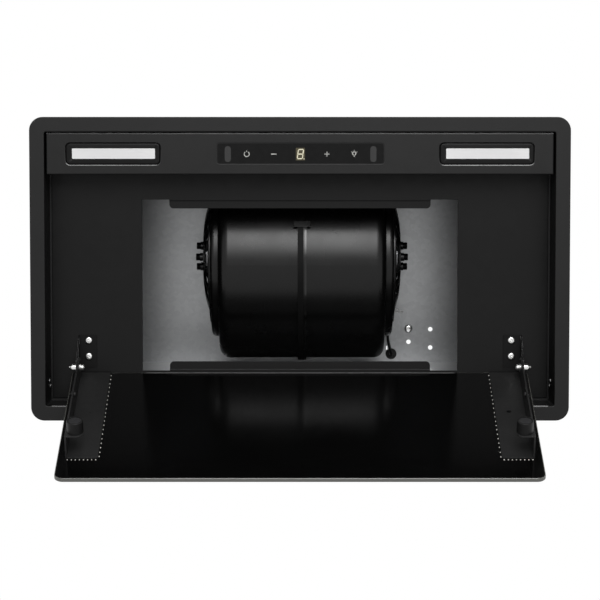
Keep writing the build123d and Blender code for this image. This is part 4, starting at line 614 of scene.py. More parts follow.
# Tone, roughness, size of the grain and specular level
RUBBERS = {
    "rubber": (0.012, 0.62),
    # Pale tone of the painted highlight line on the glass's rear edge
    "edge_bead": (0.10, 0.4, 1.5 * MM),
    "magnet_cup": (0.006, 0.50, 0.7 * MM, 0.2),
    "lead_black": (0.010, 0.5, 0.4 * MM),
    # Black ring of painted shadow in the lamp bezels' grooves
    "gap_black": (0.0012, 0.8, 0.7 * MM, 0.03),
}
# Tint, strength of its glow and roughness; the glow is painted light on all but the lit figure
PRINTS_WITH_GLOW = {
    "mark_lit": ((0.60, 0.60, 0.57), 0.12),
    "figure_lit": ((0.74, 0.70, 0.53), 0.20),
    "field_dim": ((0.085, 0.075, 0.048), 0.12, 0.25),
    "slot_pale": ((0.047, 0.047, 0.047), 0.06, 0.3),
}
MATERIALS = {
    "galvanised": galvanised(),
    "cast_alloy": cast_alloy(),
    "lens_white": frosted_lens(),
    "control_black": smoked_window(),
    "panel_glass": panel_glass(),
    "winding": wound(),
    "board_green": circuit_board(),
    "pale_bead_finish": pale_bead_finish(),
}
FAMILIES = (
    (painted, PAINTS),
    (moulded, PLASTICS),
    (plated, PLATINGS),
    (matt_rubber, RUBBERS),
    (print_with_glow, PRINTS_WITH_GLOW),
)
for make, family in FAMILIES:
    MATERIALS.update({name: make(name, *values) for name, values in family.items()})
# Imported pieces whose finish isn't that of their slot
NODE_FINISH = {
    "lead_tie": "tie_white",
    "floor_plate": "floor_black",
    "panel_bracket_left": "plate_black",
    "panel_bracket_right": "plate_black",
    "hinge_bracket_left": "hinge_black",
    "hinge_bracket_right": "hinge_black",
}


# Mesh building


def polar(radius, turn, height=0.0):
    """A point at a radius and a turn about Z."""
    return Vector((radius * math.cos(turn), radius * math.sin(turn), height))


def circle(radius, height, count=SEGMENTS):
    """A round loop of points about Z."""
    return [polar(radius, math.tau * index / count, height) for index in range(count)]


def hexagon(flats, height, limit, lift=0.0):
    """A six-sided loop about Z whose corners are cut back to a limit, or lifted as a chamfer does."""
    loop = []
    for index in range(SEGMENTS):
        turn = math.tau * index / SEGMENTS
        across = flats / 2 / math.cos((turn % (math.tau / 6)) - math.tau / 12)
        rise = lift * max(0.0, across - limit) * math.tan(math.radians(CHAMFER_DEG))
        loop.append(polar(across if lift else min(across, limit), turn, height + rise))
    return loop


def rounded(half_w, half_d, corner, height, centre=(0.0, 0.0), steps=5):
    """A rectangular loop with round corners, counter-clockwise in the XY plane."""
    loop = []
    for quarter in range(4):
        x_side = 1 if quarter in (0, 3) else -1
        y_side = 1 if quarter in (0, 1) else -1
        x = centre[0] + x_side * (half_w - corner)
        y = centre[1] + y_side * (half_d - corner)
        for step in range(steps + 1):
            turn = math.radians(90 * (quarter + step / steps))
            loop.append(Vector((x + corner * math.cos(turn), y + corner * math.sin(turn), height)))
    return loop


def skin(bm, loops, around=False, ends=False, place=Matrix.Identity(4)):
    """Faces between neighbouring loops; a loop of one point closes an end, and ends adds flat end faces."""
    rings = [[bm.verts.new(place @ point) for point in loop] for loop in loops]
    following = rings[1:] + rings[:1] if around else rings[1:]
    for low, high in zip(rings, following):
        count = max(len(low), len(high))
        for index in range(count):
            after = (index + 1) % count
            face = [low[index % len(low)], low[after % len(low)]]
            face += [high[after % len(high)], high[index % len(high)]]
            bm.faces.new(list(dict.fromkeys(face)))
    if ends:
        bm.faces.new(rings[0])
        bm.faces.new(rings[-1])


def skinned(loops, **options):
    """A new mesh of one skin."""
    bm = bmesh.new()
    skin(bm, loops, **options)
    return bm


def add_plate(bm, loop, low, high):
    """A flat plate between two heights, with the outline of a loop."""
    skin(bm, [[Vector((point.x, point.y, height)) for point in loop] for height in (low, high)], ends=True)


def point_along(foot, way, axis="Z"):
    """Placement at a foot, with an axis along a direction."""
    return Matrix.Translation(foot) @ Vector(way).to_track_quat(axis, "Y").to_matrix().to_4x4()


def middle_and_half(low, high):
    """Middle and half size of a box."""
    return (low + high) / 2, (high - low) / 2


def add_object(name, data):
    made = bpy.data.objects.new(name, data)
    bpy.context.scene.collection.objects.link(made)
    return made


def as_mesh(name, bm):
    """A mesh of a built skin, with its faces turned outwards."""
    bmesh.ops.recalc_face_normals(bm, faces=bm.faces)
    mesh = bpy.data.meshes.new(name)
    bm.to_mesh(mesh)
    bm.free()
    return mesh


def piece(name, bm, slot, body="root", node=None, finish=None, smooth_deg=SMOOTH_DEG):
    """Makes an object of a built mesh, which takes its slot's or another finish and rides on a body."""
    bmesh.ops.remove_doubles(bm, verts=bm.verts, dist=WELD)
    mesh = as_mesh(name, bm)
    mesh.shade_smooth()
    mesh.set_sharp_from_angle(angle=math.radians(smooth_deg))
    made = add_object(name, mesh)
    mesh.materials.append(MATERIALS[finish or slot])
    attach(made, body)
    if node:
        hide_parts(node)
    return made


def cut_away(mesh, cutters):
    """The mesh less each cutter."""
    body = add_object("uncut", mesh)
    holders = [body]
    for cutter in cutters:
        modifier = body.modifiers.new("cut", "BOOLEAN")
        modifier.solver = "EXACT"
        modifier.object = add_object("cutter", cutter)
        holders.append(modifier.object)
    graph = bpy.context.evaluated_depsgraph_get()
    made = bpy.data.meshes.new_from_object(body.evaluated_get(graph))
    for holder in holders:
        bpy.data.objects.remove(holder)
    return made


# Fasteners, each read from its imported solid


def loose_solids(node):
    """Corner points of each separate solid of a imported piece."""
    bm = bmesh.new()
    bm.from_mesh(frame["nodes"][node].data)
    bmesh.ops.remove_doubles(bm, verts=bm.verts, dist=WELD)
    seen = set()
    solids = []
    for first in bm.verts:
        if first in seen:
            continue
        seen.add(first)
        group = [first]
        for corner in group:
            for edge in corner.link_edges:
                other = edge.other_vert(corner)
                if other not in seen:
                    seen.add(other)
                    group.append(other)
        solids.append([corner.co.copy() for corner in group])
    bm.free()
    return solids


def corners(points):
    """Lowest and highest corner of some points."""
    low = Vector([min(point[axis] for point in points) for axis in range(3)])
    high = Vector([max(point[axis] for point in points) for axis in range(3)])
    return low, high


def read_screw(points):
    """Placement and sizes of a screw: its head's underside is at z = 0 and its shank runs along +Z."""
    low, high = corners(points)
    centre = (low + high) / 2
    for axis in range(3):
        others = [index for index in range(3) if index != axis]
        radii = [math.hypot(*(point[index] - centre[index] for index in others)) for point in points]
        if len({round(radius / (10 * WELD)) for radius in radii}) == 2:
            break
    head_r, shank_r = max(radii), min(radii)
    middle = (head_r + shank_r) / 2
    head = [point[axis] for point, radius in zip(points, radii) if radius > middle]
    way = 1 if abs(min(head) - low[axis]) < WELD else -1
    foot = centre.copy()
    foot[axis] = max(head) if way > 0 else min(head)
    tip = high[axis] if way > 0 else low[axis]
    direction = [way if index == axis else 0 for index in range(3)]
    sizes = (head_r, max(head) - min(head), shank_r, abs(tip - foot[axis]))
    return point_along(foot, direction), sizes


def pan_head(head_r, head_h, shank_r):
    """Pan head over z = 0, towards -Z, with a cross recess."""
    loops = [[Vector()], circle(shank_r, 0), circle(head_r * PAN_EDGE, 0), circle(head_r, -head_h * PAN_FOOT)]
    for step in range(PAN_STEPS + 1):
        turn = math.radians(90 * step / PAN_STEPS)
        radius = head_r * (PAN_FLAT + (1 - PAN_FLAT) * math.cos(turn))
        loops.append(circle(radius, -head_h * (PAN_SIDE + (PAN_RISE - PAN_SIDE) * math.sin(turn))))
    loops += [circle(head_r * PAN_FLAT / 2, -head_h * PAN_TOP), [Vector((0, 0, -head_h))]]
    head = skinned(loops)
    mouth, foot = [
        rounded(head_r * half_l, head_r * half_w, head_r * corner, -head_h * depth, steps=1)
        for half_l, half_w, corner, depth in (RECESS_MOUTH, RECESS_FOOT)
    ]
    loops = [[Vector((0, 0, mouth[0].z))], mouth, foot, [Vector((0, 0, -head_h * RECESS_POINT))]]
    turns = [Matrix.Rotation(math.radians(turn_deg), 4, "Z") for turn_deg in (0, 90)]
    wings = [as_mesh("wing", skinned(loops, place=turn)) for turn in turns]
    return cut_away(as_mesh("head", head), wings)


def add_thread(bm, radius, length, pitch, place):
    """A threaded shank from z = 0, with a slightly pointed end."""
    rows = max(THREAD_ROWS, round(length / (pitch / THREAD_ROWS)))
    loops = [[Vector()]]
    for row in range(rows + 1):
        height = length * row / rows
        taper = min(1.0, (1 - THREAD_POINT) + THREAD_POINT * (length - height) / (2 * pitch))
        loop = []
        for index in range(THREAD_SEGMENTS):
            phase = (height / pitch - index / THREAD_SEGMENTS) % 1
            crest = min(1.0, max(0.0, (1 - 2 * abs(phase - 0.5) - THREAD_ROOT) / THREAD_FLANK))
            reach = radius * taper * (THREAD_CORE + (1 - THREAD_CORE) * crest)
            loop.append(polar(reach, math.tau * index / THREAD_SEGMENTS, height))
        loops.append(loop)
    loops.append([Vector((0, 0, length))])
    skin(bm, loops, place=place)


def add_screw(bm, points, pitch, roll):
    """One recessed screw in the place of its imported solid."""
    place, (head_r, head_h, shank_r, shank_l) = read_screw(points)
    head = pan_head(head_r, head_h, shank_r)
    head.transform(place @ Matrix.Rotation(roll, 4, "Z"))
    bm.from_mesh(head)
    bpy.data.meshes.remove(head)
    add_thread(bm, shank_r, shank_l, pitch, place)


def add_hex_bolt(bm, points, pitch):
    """One hexagon-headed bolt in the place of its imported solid."""
    place, (head_r, head_h, shank_r, shank_l) = read_screw(points)
    flats = head_r * math.sqrt(3)
    face_r, face_h = head_r * BOLT_FACE[0], head_h * BOLT_FACE[1]
    loops = [[Vector()], circle(shank_r, 0), circle(face_r, 0), circle(face_r, -face_h)]
    loops += [hexagon(flats, -head_h * share, head_r) for share in BOLT_HEX]
    loops += [hexagon(flats * BOLT_TOP[0], -head_h, head_r * BOLT_TOP[1])]
    rim, floor, depth = BOLT_DISH
    loops += [circle(head_r * rim, -head_h), circle(head_r * floor, -head_h * depth)]
    skin(bm, [*loops, [Vector((0, 0, -head_h * depth))]], place=place)
    add_thread(bm, shank_r, shank_l, pitch, place)


def dress_hub_bolts():
    """Black bolts that hold the motor's clamps to the grilles."""
    bm = bmesh.new()
    for points in loose_solids("hub_screws"):
        add_hex_bolt(bm, points, HUB_BOLT_PITCH)
    return piece("hub_bolts_threaded", bm, "bracket_black", node="hub_screws", finish="bolt_black")


def dress_screws(node, pitch=SCREW_PITCH, finish=None):
    """Recessed, threaded screws that stand for a packed group of plain ones."""
    rolls = random.Random(node)
    bm = bmesh.new()
    for points in loose_solids(node):
        add_screw(bm, points, pitch, rolls.uniform(0, math.tau))
    return piece(f"{node}_recessed", bm, "screw_zinc", node=node, finish=finish)


def add_nut(bm, place, flats, height, bore, collar=0.0):
    """A chamfered hexagon nut from z = 0, with an optional round locking collar on its end."""
    limit = flats * NUT_LIMIT
    top = height - collar
    loops = [circle(bore, 0), circle(bore * NUT_MOUTH, 0), hexagon(flats, 0, limit)]
    loops += [hexagon(flats, 0, limit, lift=1.0), hexagon(flats, top, limit, lift=-1.0)]
    loops += [hexagon(flats, top, limit)]
    if collar:
        heights = (top, height - collar * COLLAR_SHOULDER, height)
        loops += [circle(flats * share, at) for share, at in zip(COLLAR_RADII, heights)]
        loops += [circle(bore * COLLAR_MOUTH, height)]
    skin(bm, [*loops, circle(bore, height)], around=True, place=place)


def dress_hinge_nuts():
    """Lock nuts on the pivot bolts."""
    bm = bmesh.new()
    for points in loose_solids("hinge_nuts"):
        low, high = corners(points)
        foot, size = (low + high) / 2, high - low
        way = 1 if foot.x > 0 else -1
        foot.x = low.x if way > 0 else high.x
        place = point_along(foot, (way, 0, 0))
        add_nut(bm, place, min(size.y, size.z), size.x, NUT_BORE, size.x * COLLAR_SHARE)
    return piece("hinge_lock_nuts", bm, "screw_zinc", node="hinge_nuts")


def dress_earth_screw():
    """Earth screw with its recessed head below and its chamfered nut above the top plate."""
    screw_points, nut_points = sorted(loose_solids("earth_screw"), key=lambda points: corners(points)[0].z)
    bm = bmesh.new()
    add_screw(bm, screw_points, BOLT_PITCH, 0.0)
    low, high = corners(nut_points)
    foot, size = (low + high) / 2, high - low
    foot.z = low.z
    add_nut(bm, Matrix.Translation(foot), min(size.x, size.y), size.z, EARTH_BORE)
    return piece("earth_screw_and_nut", bm, "screw_zinc", node="earth_screw")


# Control strip


def outline_loops(middle, half, corner, steps, base):
    """Loops inside a rounded outline, one for each step of a profile in mm over a base height."""
    loops = []
    for inset, height, shift in steps:
        cut = inset * MM
        sizes = (half.x - cut, half.y - cut, max(corner - cut, LEAST_CORNER))
        loops.append(rounded(*sizes, base + height * MM, (middle.x, middle.y + shift * MM)))
    return loops


def outline_rim(name, slot, finish, middle, half, corner, steps):
    """A rim, or a ring of painted shadow in a gap, on the strip's face along a rounded outline."""
    bm = skinned(outline_loops(middle, half, corner, steps, STRIP_FACE_Z), around=True)
    return piece(name, bm, slot, finish=finish)


def lamp_bezel(side):
    """Lamp bezel in its pressed seat: sloping rim, a gap filled with painted shadow, raised face, window and
    sleeve.
    """
    node = f"lamp_bezel_{side}"
    low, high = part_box(node)
    middle, half = middle_and_half(low, high)
    outline = (middle, half, BEZEL_CORNER)
    outline_rim(f"{node}_seat", "strip_black", "rim_black", *outline, SEAT_STEPS)
    # A matt black ring in the groove: painted shadow.
    outline_rim(f"{node}_painted_shadow_gap", "rubber", "gap_black", *outline, SHADOW_GAP_STEPS)
    lens_half = middle_and_half(*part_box(f"lamp_lens_{side}"))[1]
    half_w, half_d = lens_half.x - LENS_LAP[0], lens_half.y - LENS_LAP[1]
    window = (middle.x + LENS_SHIFT[0], middle.y + LENS_SHIFT[1])
    ledge = low.z + BEZEL_FACE_T
    loops = outline_loops(*outline, BEZEL_FOOT, STRIP_FACE_Z) + outline_loops(*outline, BEZEL_STEPS, low.z)
    for reach, corner, height, centre in (
        (BEZEL_EDGE, WINDOW_CORNER, low.z, window),
        (0.0, WINDOW_CORNER, low.z + BEZEL_EDGE, window),
        (0.0, WINDOW_CORNER, ledge, window),
        (SLEEVE_REACH, WINDOW_CORNER + SLEEVE_REACH, ledge, middle),
        (SLEEVE_REACH, WINDOW_CORNER + SLEEVE_REACH, high.z, middle),
    ):
        loops.append(rounded(half_w + reach, half_d + reach, corner, height, centre))
    for base in (high.z, STRIP_FACE_Z):
        loops += outline_loops(*outline, SLEEVE_STEP, base)
    return piece(f"{node}_seated", skinned(loops, around=True), "bezel_black", node=node)


def window_rim():
    """Pressed rim of the strip round the control window, sloping down to the glass."""
    middle, half = middle_and_half(*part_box("control_glass"))
    half += Vector((RIM_W, RIM_W, 0))
    return outline_rim(
        "control_window_rim", "strip_black", "faint_rim_black", middle, half, RIM_CORNER, RIM_STEPS
    )


def hem(name, slot, section, corner, start, end):
    """A slightly sloping hem along X, its section drawn from a corner."""
    loops = [[Vector((x, corner[0] + y * MM, corner[1] + z * MM)) for y, z in section] for x in (start, end)]
    return piece(name, skinned(loops, ends=True), slot, finish="rim_black")


def add_hems():
    """Hem along the strip's front bend, and the rolled edge of the flange's mouth at its rear."""
    low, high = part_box("control_strip")
    ends = (low.x + HEM_INSET, high.x - HEM_INSET)
    hem("strip_front_hem", "strip_black", STRIP_HEM, (low.y, low.z), *ends)
    ends = (-MOUTH_HALF_W, MOUTH_HALF_W)
    hem("flange_mouth_hem", "powder_black", MOUTH_HEM, (MOUTH_Y, MOUTH_Z), *ends)


def bar(length, width, x=0.0, y=0.0, turn_deg=0.0):
    """Outline of a bar with round ends."""
    loop = rounded(length / 2, width / 2, width * BAR_ROUND, 0.0)
    turn = Matrix.Rotation(math.radians(turn_deg), 4, "Z")
    return [turn @ point + Vector((x, y, 0)) for point in loop]


def add_arc_band(bm, radius, width, start_deg, sweep_deg, centre, height, steps=24):
    """A flat band along an arc, from the level of its centre up to a height over it."""
    rise = Vector((0, 0, height))
    sections = []
    for step in range(steps + 1):
        turn = math.radians(start_deg + sweep_deg * step / steps)
        near, far = centre + polar(radius - width / 2, turn), centre + polar(radius + width / 2, turn)
        sections.append([near, far, far + rise, near + rise])
    skin(bm, sections, ends=True)


def key_marks():
    """Symbols of the four touch keys: power, less, more and lamp, with a painted glow. Their tops point to -Y."""
    low, high = GLASS_FACE_Z - ICON_T, GLASS_FACE_Z
    power, bulb = Vector((POWER_X, ICON_Y, low)), Vector((BULB_X, BULB_Y, low))
    bm = bmesh.new()
    add_arc_band(bm, POWER_R, MARK_W * POWER_SHARE, *POWER_ARC_DEG, power, ICON_T)
    add_arc_band(bm, BULB_R, MARK_W, *BULB_ARC_DEG, bulb, ICON_T)
    for x, shift, length, share, turn_deg in MARK_BARS:
        add_plate(bm, bar(length * MM, MARK_W * share, x, ICON_Y + shift * MM, turn_deg), low, high)
    add_plate(bm, bar(PLUS_L, MARK_W * PLUS_SHARE, PLUS_X, ICON_Y, 90), low - CROSS_DROP, high)
    for turn_deg in RAY_DEGS:
        ray = bulb + polar(RAY_R, math.radians(turn_deg))
        add_plate(bm, bar(RAY_L, MARK_W * RAY_SHARE, ray.x, ray.y, turn_deg), low, high)
    return piece("key_marks", bm, "lens_white", finish="mark_lit")


def segment(x, y, length, turn_deg):
    """Outline of one segment of a figure, pointed at both ends and leaning as the figure does."""
    half, half_w = length / 2 - SEGMENT_GAP, SEGMENT_W / 2
    outline = [(half, 0), (half - half_w, half_w), (half_w - half, half_w)]
    outline += [(-half, 0), (half_w - half, -half_w), (half - half_w, -half_w)]
    turn = Matrix.Rotation(math.radians(turn_deg), 4, "Z")
    loop = []
    for point in outline:
        place = turn @ Vector((*point, 0)) + Vector((x, y, 0))
        lean = Vector((-place.y * FIGURE_LEAN, 0, 0))
        loop.append(place + lean + Vector((DIGIT_X, ICON_Y, 0)))
    return loop


def figure_display():
    """Seven-segment figure, all lit as on a test, over its dim field, whose faint glow is painted light."""
    low, high = GLASS_FACE_Z - ICON_T, GLASS_FACE_Z
    field = bmesh.new()
    add_plate(field, rounded(*FIELD_HALF, FIELD_CORNER, 0.0, (DIGIT_X, ICON_Y)), low, high)
    piece("display_field", field, "control_black", finish="field_dim")
    outlines = [segment(0.0, y, FIGURE_W, 0) for y in (-FIGURE_H / 2, 0.0, FIGURE_H / 2)]
    for x in (-FIGURE_W / 2, FIGURE_W / 2):
        outlines += [segment(x, y, FIGURE_H / 2, 90) for y in (-FIGURE_H / 4, FIGURE_H / 4)]
    point = (DIGIT_X + FIGURE_W / 2 + POINT_SHIFT[0], ICON_Y + FIGURE_H / 2 + POINT_SHIFT[1])
    outlines.append(rounded(POINT_HALF, POINT_HALF, POINT_CORNER, 0.0, point))
    bm = bmesh.new()
    for outline in outlines:
        add_plate(bm, outline, low - ICON_T, low)
    return piece("display_figure", bm, "lens_white", finish="figure_lit")


def window_slots():
    """Two pale rounded bars at the ends of the control window, with a painted glow."""
    bm = bmesh.new()
    for x in SLOT_XS:
        outline = rounded(SLOT_W / 2, SLOT_H / 2, SLOT_W * SLOT_ROUND, 0.0, (x, ICON_Y))
        add_plate(bm, outline, GLASS_FACE_Z - ICON_T, GLASS_FACE_Z)
    return piece("window_slots", bm, "control_black", finish="slot_pale")


# Glass panel


def on_panel(x, along, above):
    """A point of the open panel: distance from its hinge line along the glass, and above its inner face."""
    return Vector((x, PIVOT.y, PIVOT.z)) + ALONG * along + INWARD * above


def panel_range(node):
    """Lowest and highest values across, along and above the glass over a piece of the panel."""
    points = [vertex.co for vertex in frame["nodes"][node].data.vertices]
    return corners([Vector((p.x, (p - PIVOT).dot(ALONG), (p - PIVOT).dot(INWARD))) for p in points])


def add_bead(bm, centre, half_w, half_l, height):
    """A small oblong dome on the glass, its length down the panel."""
    turn = Matrix((Vector((1, 0, 0)), ALONG, INWARD)).transposed().to_4x4()
    loops = [[Vector((0, 0, -BEAD_SINK))]]
    for share, rise in ((1.0, 0.0), BEAD_SHOULDER):
        ring = circle(1.0, height * rise, BEAD_SEGMENTS)
        loops.append([Vector((p.x * half_w * share, p.y * half_l * share, p.z)) for p in ring])
    skin(bm, [*loops, [Vector((0, 0, height))]], place=Matrix.Translation(centre) @ turn)


def pale_edge_beads(side):
    """Row of small pale beads along the inner side and the front edge of a bracket's plate."""
    low, high = panel_range(f"panel_bracket_{side}")
    glass_top = low.z
    inner_x, outer_x = (high.x, low.x) if side == "left" else (low.x, high.x)
    inward = 1 if side == "left" else -1
    drift = random.Random(side)
    bm = bmesh.new()
    count = round((high.y - low.y) / BEAD_STEP_DOWN)
    for index in range(count):
        along = low.y + (high.y - low.y) * (index + 0.5) / count + drift.uniform(-BEAD_DRIFT, BEAD_DRIFT)
        place = on_panel(inner_x + inward * BEAD_OUT, along, glass_top)
        add_bead(bm, place, BEAD_HALF_W, BEAD_HALF_L * drift.uniform(*BEAD_LENGTHS), BEAD_H)
    count = round(abs(inner_x - outer_x) / BEAD_STEP_ACROSS)
    for index in range(count):
        x = outer_x + (inner_x - outer_x) * (index + 0.5) / count
        place = on_panel(x, high.y + 2 * BEAD_OUT, glass_top)
        add_bead(bm, place, BEAD_HALF_W * drift.uniform(*BEAD_WIDTHS), BEAD_HALF_L, BEAD_H)
    return piece(f"pale_edge_beads_{side}", bm, "white_plastic", body="panel", finish="pale_bead_finish")


def rear_edge_painted_highlight():
    """Pale rounded line on the glass's rear edge, as long as the filter opening: a painted highlight, standing for
    the edge's reflection of the lit casing above.
    """
    low, high = panel_range("glass_panel")
    ring = circle(REAR_HIGHLIGHT_R, 0.0, REAR_HIGHLIGHT_SEGMENTS)
    along, above = low.y + REAR_HIGHLIGHT_R, high.z - REAR_HIGHLIGHT_R / 2
    ends = (-OPENING_HALF_W, OPENING_HALF_W)
    bm = skinned([[on_panel(x, along + p.x, above + p.y) for p in ring] for x in ends], ends=True)
    return piece("glass_rear_painted_highlight", bm, "rubber", body="panel", finish="edge_bead")


# Blower housing


def seam_band(name, node, span, proud, finish):
    """A moulded band along the seam, on one half of the housing and following its outline."""
    source = frame["nodes"][node].data
    tree = BVHTree.FromPolygons([v.co for v in source.vertices], [p.vertices for p in source.polygons])
    probe_x = SEAM_X + (SEAM_PROBE if node == "scroll_right" else -SEAM_PROBE)
    start_x, end_x = SEAM_X + span[0], SEAM_X + span[1]
    sections = []
    for step in range(SEAM_STEPS + 1):
        turn = math.radians(SEAM_START_DEG + (SEAM_END_DEG - SEAM_START_DEG) * step / SEAM_STEPS)
        way = Vector((0, math.cos(turn), math.sin(turn)))
        origin = Vector((probe_x, *BLOWER_AXIS)) + way * SEAM_FAR
        hit, normal = tree.ray_cast(origin, -way)[:2]
        if normal.dot(way) < 0:
            normal = -normal
        out = Vector((0, normal.y, normal.z)).normalized()
        foot, top = hit - out * SEAM_SINK, hit + out * proud
        section = ((start_x, foot), (start_x, top), (end_x, top), (end_x, foot))
        sections.append([Vector((x, point.y, point.z)) for x, point in section])
    return piece(name, skinned(sections, ends=True), "blower_plastic", finish=finish)


def housing_seam():
    """Joint between the two halves of the housing: a matt strip beside a glossy lip."""
    seam_band("seam_strip", "scroll_left", STRIP_SPAN, RIM_PROUD + STRIP_PROUD, "seam_matt")
    seam_band("seam_lip", "scroll_right", LIP_SPAN, RIM_PROUD + LIP_PROUD, "lip_gloss")


# Top side


def flap_ribs(node, way):
    """Moulded stiffening ribs on the upper face of a non-return flap, which reaches along Y from its pin."""
    low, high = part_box(node)
    middle, half = middle_and_half(low, high)
    reach = half.x
    pin_y = high.y - reach if way > 0 else low.y + reach
    foot = low.z + FLAP_T - FLAP_RIB_SINK
    height = FLAP_RIB_H + FLAP_RIB_SINK
    bm = bmesh.new()
    for offset in FLAP_RIB_XS:
        far = math.sqrt((reach - FLAP_RIB_EDGE) ** 2 - offset**2)
        y = pin_y + way * (FLAP_RIB_START + far) / 2
        outline = bar(far - FLAP_RIB_START, FLAP_RIB_W, middle.x + offset, y, 90)
        add_plate(bm, outline, foot, foot + height)
    start_deg = FLAP_ARC_START_DEG if way > 0 else FLAP_ARC_START_DEG + 180
    arc = (reach - FLAP_RIB_EDGE, FLAP_RIB_W, start_deg, FLAP_ARC_DEG)
    add_arc_band(bm, *arc, Vector((middle.x, pin_y, foot)), height, FLAP_ARC_STEPS)
    return piece(f"{node}_ribs", bm, "box_plastic", body=node)


def fluted(radius, height):
    """Round loop with shallow grip flutes."""
    loop = circle(radius, height)
    for index, point in enumerate(loop):
        if index % 4 in (2, 3):
            point.xy = point.xy * FLUTE_SHARE
    return loop


def cable_gland():
    """Cable gland: wall thread, hexagon flange, fluted dome nut and rubber seal round its bore."""
    low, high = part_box("cable_gland")
    middle, half = middle_and_half(low, high)
    full_r, length = half.y, high.x - low.x
    wall, nut_top = GLAND_WALL, GLAND_WALL + GLAND_NUT_H
    nut = (full_r * GLAND_FLATS, full_r * GLAND_LIMIT)
    loops = [circle(GLAND_BORE, 0), circle(full_r * GLAND_THREAD, 0), circle(full_r * GLAND_THREAD, wall)]
    loops += [hexagon(nut[0], wall, nut[1]), hexagon(nut[0], wall, nut[1], lift=GLAND_CHAMFER)]
    loops += [hexagon(nut[0], nut_top, nut[1], lift=-GLAND_CHAMFER), circle(full_r * GLAND_NECK, nut_top)]
    loops += [fluted(full_r * GLAND_DOME[0][1], wall + GLAND_DOME_FOOT)]
    loops += [fluted(full_r * share, length - depth) for depth, share in GLAND_DOME]
    loops += [circle(full_r * share, length - depth) for depth, share in GLAND_CROWN]
    seal_r, seal_floor = GLAND_BORE + GLAND_SEAL_W, length - GLAND_SEAL_DEPTH
    loops += [circle(seal_r, length), circle(seal_r, seal_floor), circle(GLAND_BORE, seal_floor)]
    bm = skinned(loops, around=True, place=point_along((low.x, middle.y, middle.z), (1, 0, 0)))
    return piece("cable_gland_fluted", bm, "box_plastic", node="cable_gland", smooth_deg=GLAND_SMOOTH_DEG)


def lid_ribs():
    """Raised border and cross ribs on the lid of the terminal box."""
    low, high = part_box("terminal_lid")
    middle, half = middle_and_half(low, high)
    square = Vector((half.x, half.x, 0))
    bm = bmesh.new()
    skin(bm, outline_loops(middle, square, LID_CORNER, LID_STEPS, high.z), around=True)
    for index in range(LID_RIBS):
        y = middle.y + (index - (LID_RIBS - 1) / 2) * LID_RIB_PITCH
        outline = bar(half.x * LID_RIB_SHARE, LID_RIB_W, middle.x, y)
        add_plate(bm, outline, high.z - LID_RIB_SINK, high.z + LID_RIB_H)
    return piece("terminal_lid_ribs", bm, "box_plastic")


def spread(start, end):
    """Evenly spaced places of spot welds from start to end."""
    count = max(1, round((end - start) / WELD_PITCH))
    return [start + (end - start) * index / count for index in range(count + 1)]


def spot_welds():
    """Shallow spot-weld marks along the casing's foot."""
    low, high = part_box("casing_wrap")
    x_sides = (low.x + WELD_INSET, high.x - WELD_INSET)
    y_sides = (low.y + WELD_INSET, high.y - WELD_INSET)
    places = [(x, y) for x in spread(*x_sides) for y in y_sides]
    places += [(x, y) for x in x_sides for y in spread(low.y, high.y)[1:-1]]
    rings = [circle(radius, height, WELD_SEGMENTS) for radius, height in WELD_RINGS]
    loops = [[Vector((0, 0, -WELD_SINK))], *rings, [Vector((0, 0, WELD_DISH))]]
    bm = bmesh.new()
    for x, y in places:
        skin(bm, loops, place=Matrix.Translation((x, y, low.z + SHEET_T)))
    return piece("spot_welds", bm, "galvanised")


def dress_nodes():
    """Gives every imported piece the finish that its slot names, or its own."""
    for part in frame["record"]["subparts"]:
        shown = frame["nodes"][part["node"]]
        finish = NODE_FINISH.get(part["node"], part["material_slot"])
        shown.data.materials.clear()
        shown.data.materials.append(MATERIALS[finish])


def dress_fasteners():
    """Threads, recesses and chamfers on the screws, bolts and nuts."""
    for node in ("hinge_bracket_screws", "casing_screws", "collar_screws", "lid_screws"):
        dress_screws(node)
    dress_screws("fixing_clip_screws", finish="screw_dark")
    dress_hub_bolts()
    dress_screws("hinge_bolts", BOLT_PITCH)
    dress_hinge_nuts()
    dress_earth_screw()


# Studio


def add_camera():
    """Camera far below the hood's front, looking up and a little towards its rear."""
    tilt = math.radians(CAMERA_TILT_DEG)
    camera = bpy.data.cameras.new("camera")
    camera.sensor_width = CAMERA_SENSOR
    camera.lens = CAMERA_LENS
    camera.clip_start, camera.clip_end = CAMERA_CLIP
    holder = add_object("camera", camera)
    across = Vector((1, 0, 0))
    up = Vector((0, -math.cos(tilt), math.sin(tilt)))
    back = Vector((0, -math.sin(tilt), -math.cos(tilt)))
    turn = Matrix((across, up, back)).transposed().to_4x4()
    holder.matrix_world = Matrix.Translation(CAMERA_PLACE) @ turn
    bpy.context.scene.camera = holder


def white_behind(tree, shader_output, surface_input, kind):
    """Shows plain white to the camera and in reflections, and the shader's own light to the rest."""
    path = add_node(tree, "LightPath")
    seen = add_node(tree, "Math", "MAXIMUM")
    clear = add_node(tree, "Math", "MAXIMUM")
    white = add_node(tree, kind, Color=WHITE, Strength=BACKGROUND_WHITE)
    mix = add_node(tree, "MixShader")
    for output, target in (
        (path.outputs["Is Camera Ray"], seen.inputs[0]),
        (path.outputs["Is Glossy Ray"], clear.inputs[0]),
        (path.outputs["Is Transmission Ray"], clear.inputs[1]),
        (clear.outputs["Value"], seen.inputs[1]),
        (seen.outputs["Value"], mix.inputs["Fac"]),
        (shader_output, mix.inputs[1]),
        (white.outputs[0], mix.inputs[2]),
        (mix.outputs["Shader"], surface_input),
    ):
        tree.links.new(output, target)


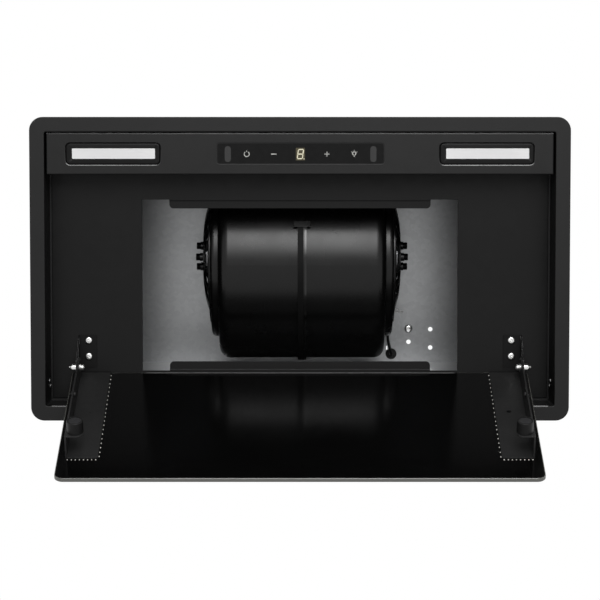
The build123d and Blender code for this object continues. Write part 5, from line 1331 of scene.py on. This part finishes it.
def add_world():
    world = bpy.data.worlds.new("studio")
    world.use_nodes = True
    tree = world.node_tree
    ambient = fill(tree.nodes["Background"], Color=WHITE, Strength=AMBIENT)
    surface = tree.nodes["World Output"].inputs["Surface"]
    white_behind(tree, ambient.outputs["Background"], surface, "Background")
    bpy.context.scene.world = world


def add_floor():
    """Plain pale floor far below, where the camera's other views can't meet it early."""
    finish = Finish("floor", FLOOR_COLOR, FLOOR_ROUGHNESS)
    surface = finish.tree.nodes["Material Output"].inputs["Surface"]
    white_behind(finish.tree, finish.shader.outputs["BSDF"], surface, "Emission")
    turns = ((-1, -1), (1, -1), (1, 1), (-1, 1))
    mesh = bpy.data.meshes.new("floor")
    mesh.from_pydata([(x * FLOOR_HALF, y * FLOOR_HALF, FLOOR_Z) for x, y in turns], [], [(0, 1, 2, 3)])
    mesh.materials.append(finish.material)
    floor = add_object("floor", mesh)


def add_softbox(name, place, target, width, height, radiance):
    """Rectangular softbox of a given radiance that no camera sees."""
    light = bpy.data.lights.new(name, "AREA")
    light.shape = "RECTANGLE"
    light.size = width
    light.size_y = height
    light.energy = radiance * width * height * math.pi
    holder = add_object(name, light)
    holder.visible_camera = False
    holder.matrix_world = point_along(place, Vector(target) - Vector(place), "-Z")
    return holder


def fade_near_side(light):
    """Lets a softbox fall to black over the part of its height that is nearest to the camera."""
    light.use_nodes = True
    tree = light.node_tree
    place = add_node(tree, "NewGeometry")
    split = add_node(tree, "SeparateXYZ")
    ramp = add_node(tree, "MapRange", From_Max=KEY_FALL)
    tree.links.new(place.outputs["Parametric"], split.inputs["Vector"])
    tree.links.new(split.outputs["Y"], ramp.inputs["Value"])
    tree.links.new(ramp.outputs["Result"], tree.nodes["Emission"].inputs["Strength"])


def add_lights():
    """A softbox below the hood's front, two weak ones at the sides and one above."""
    turn = math.radians(KEY_DEG)
    place = (KEY_SHIFT, -KEY_AWAY * math.sin(turn), LIGHT_TARGET[2] - KEY_AWAY * math.cos(turn))
    key = add_softbox("key", place, LIGHT_TARGET, KEY_W, KEY_H, KEY_RADIANCE)
    key.matrix_world = key.matrix_world @ Matrix.Translation((0, -KEY_BACK, 0))
    fade_near_side(key.data)
    x, y, z = SIDE_PLACE
    for name, way in (("left", -1), ("right", 1)):
        add_softbox(name, (way * x, y, z), LIGHT_TARGET, SIDE_SIZE, SIDE_SIZE, SIDE_RADIANCE)
    add_softbox("top", TOP_PLACE, TOP_TARGET, TOP_SIZE, TOP_SIZE, TOP_RADIANCE)


dress_nodes()
dress_fasteners()
for side in ("left", "right"):
    lamp_bezel(side)
    pale_edge_beads(side)
window_rim()
add_hems()
rear_edge_painted_highlight()
housing_seam()
key_marks()
figure_display()
window_slots()
flap_ribs("flap_front", -1)
flap_ribs("flap_rear", 1)
cable_gland()
lid_ribs()
spot_welds()
add_camera()
add_world()
add_floor()
add_lights()
bpy.context.scene.view_settings.view_transform = "Standard"
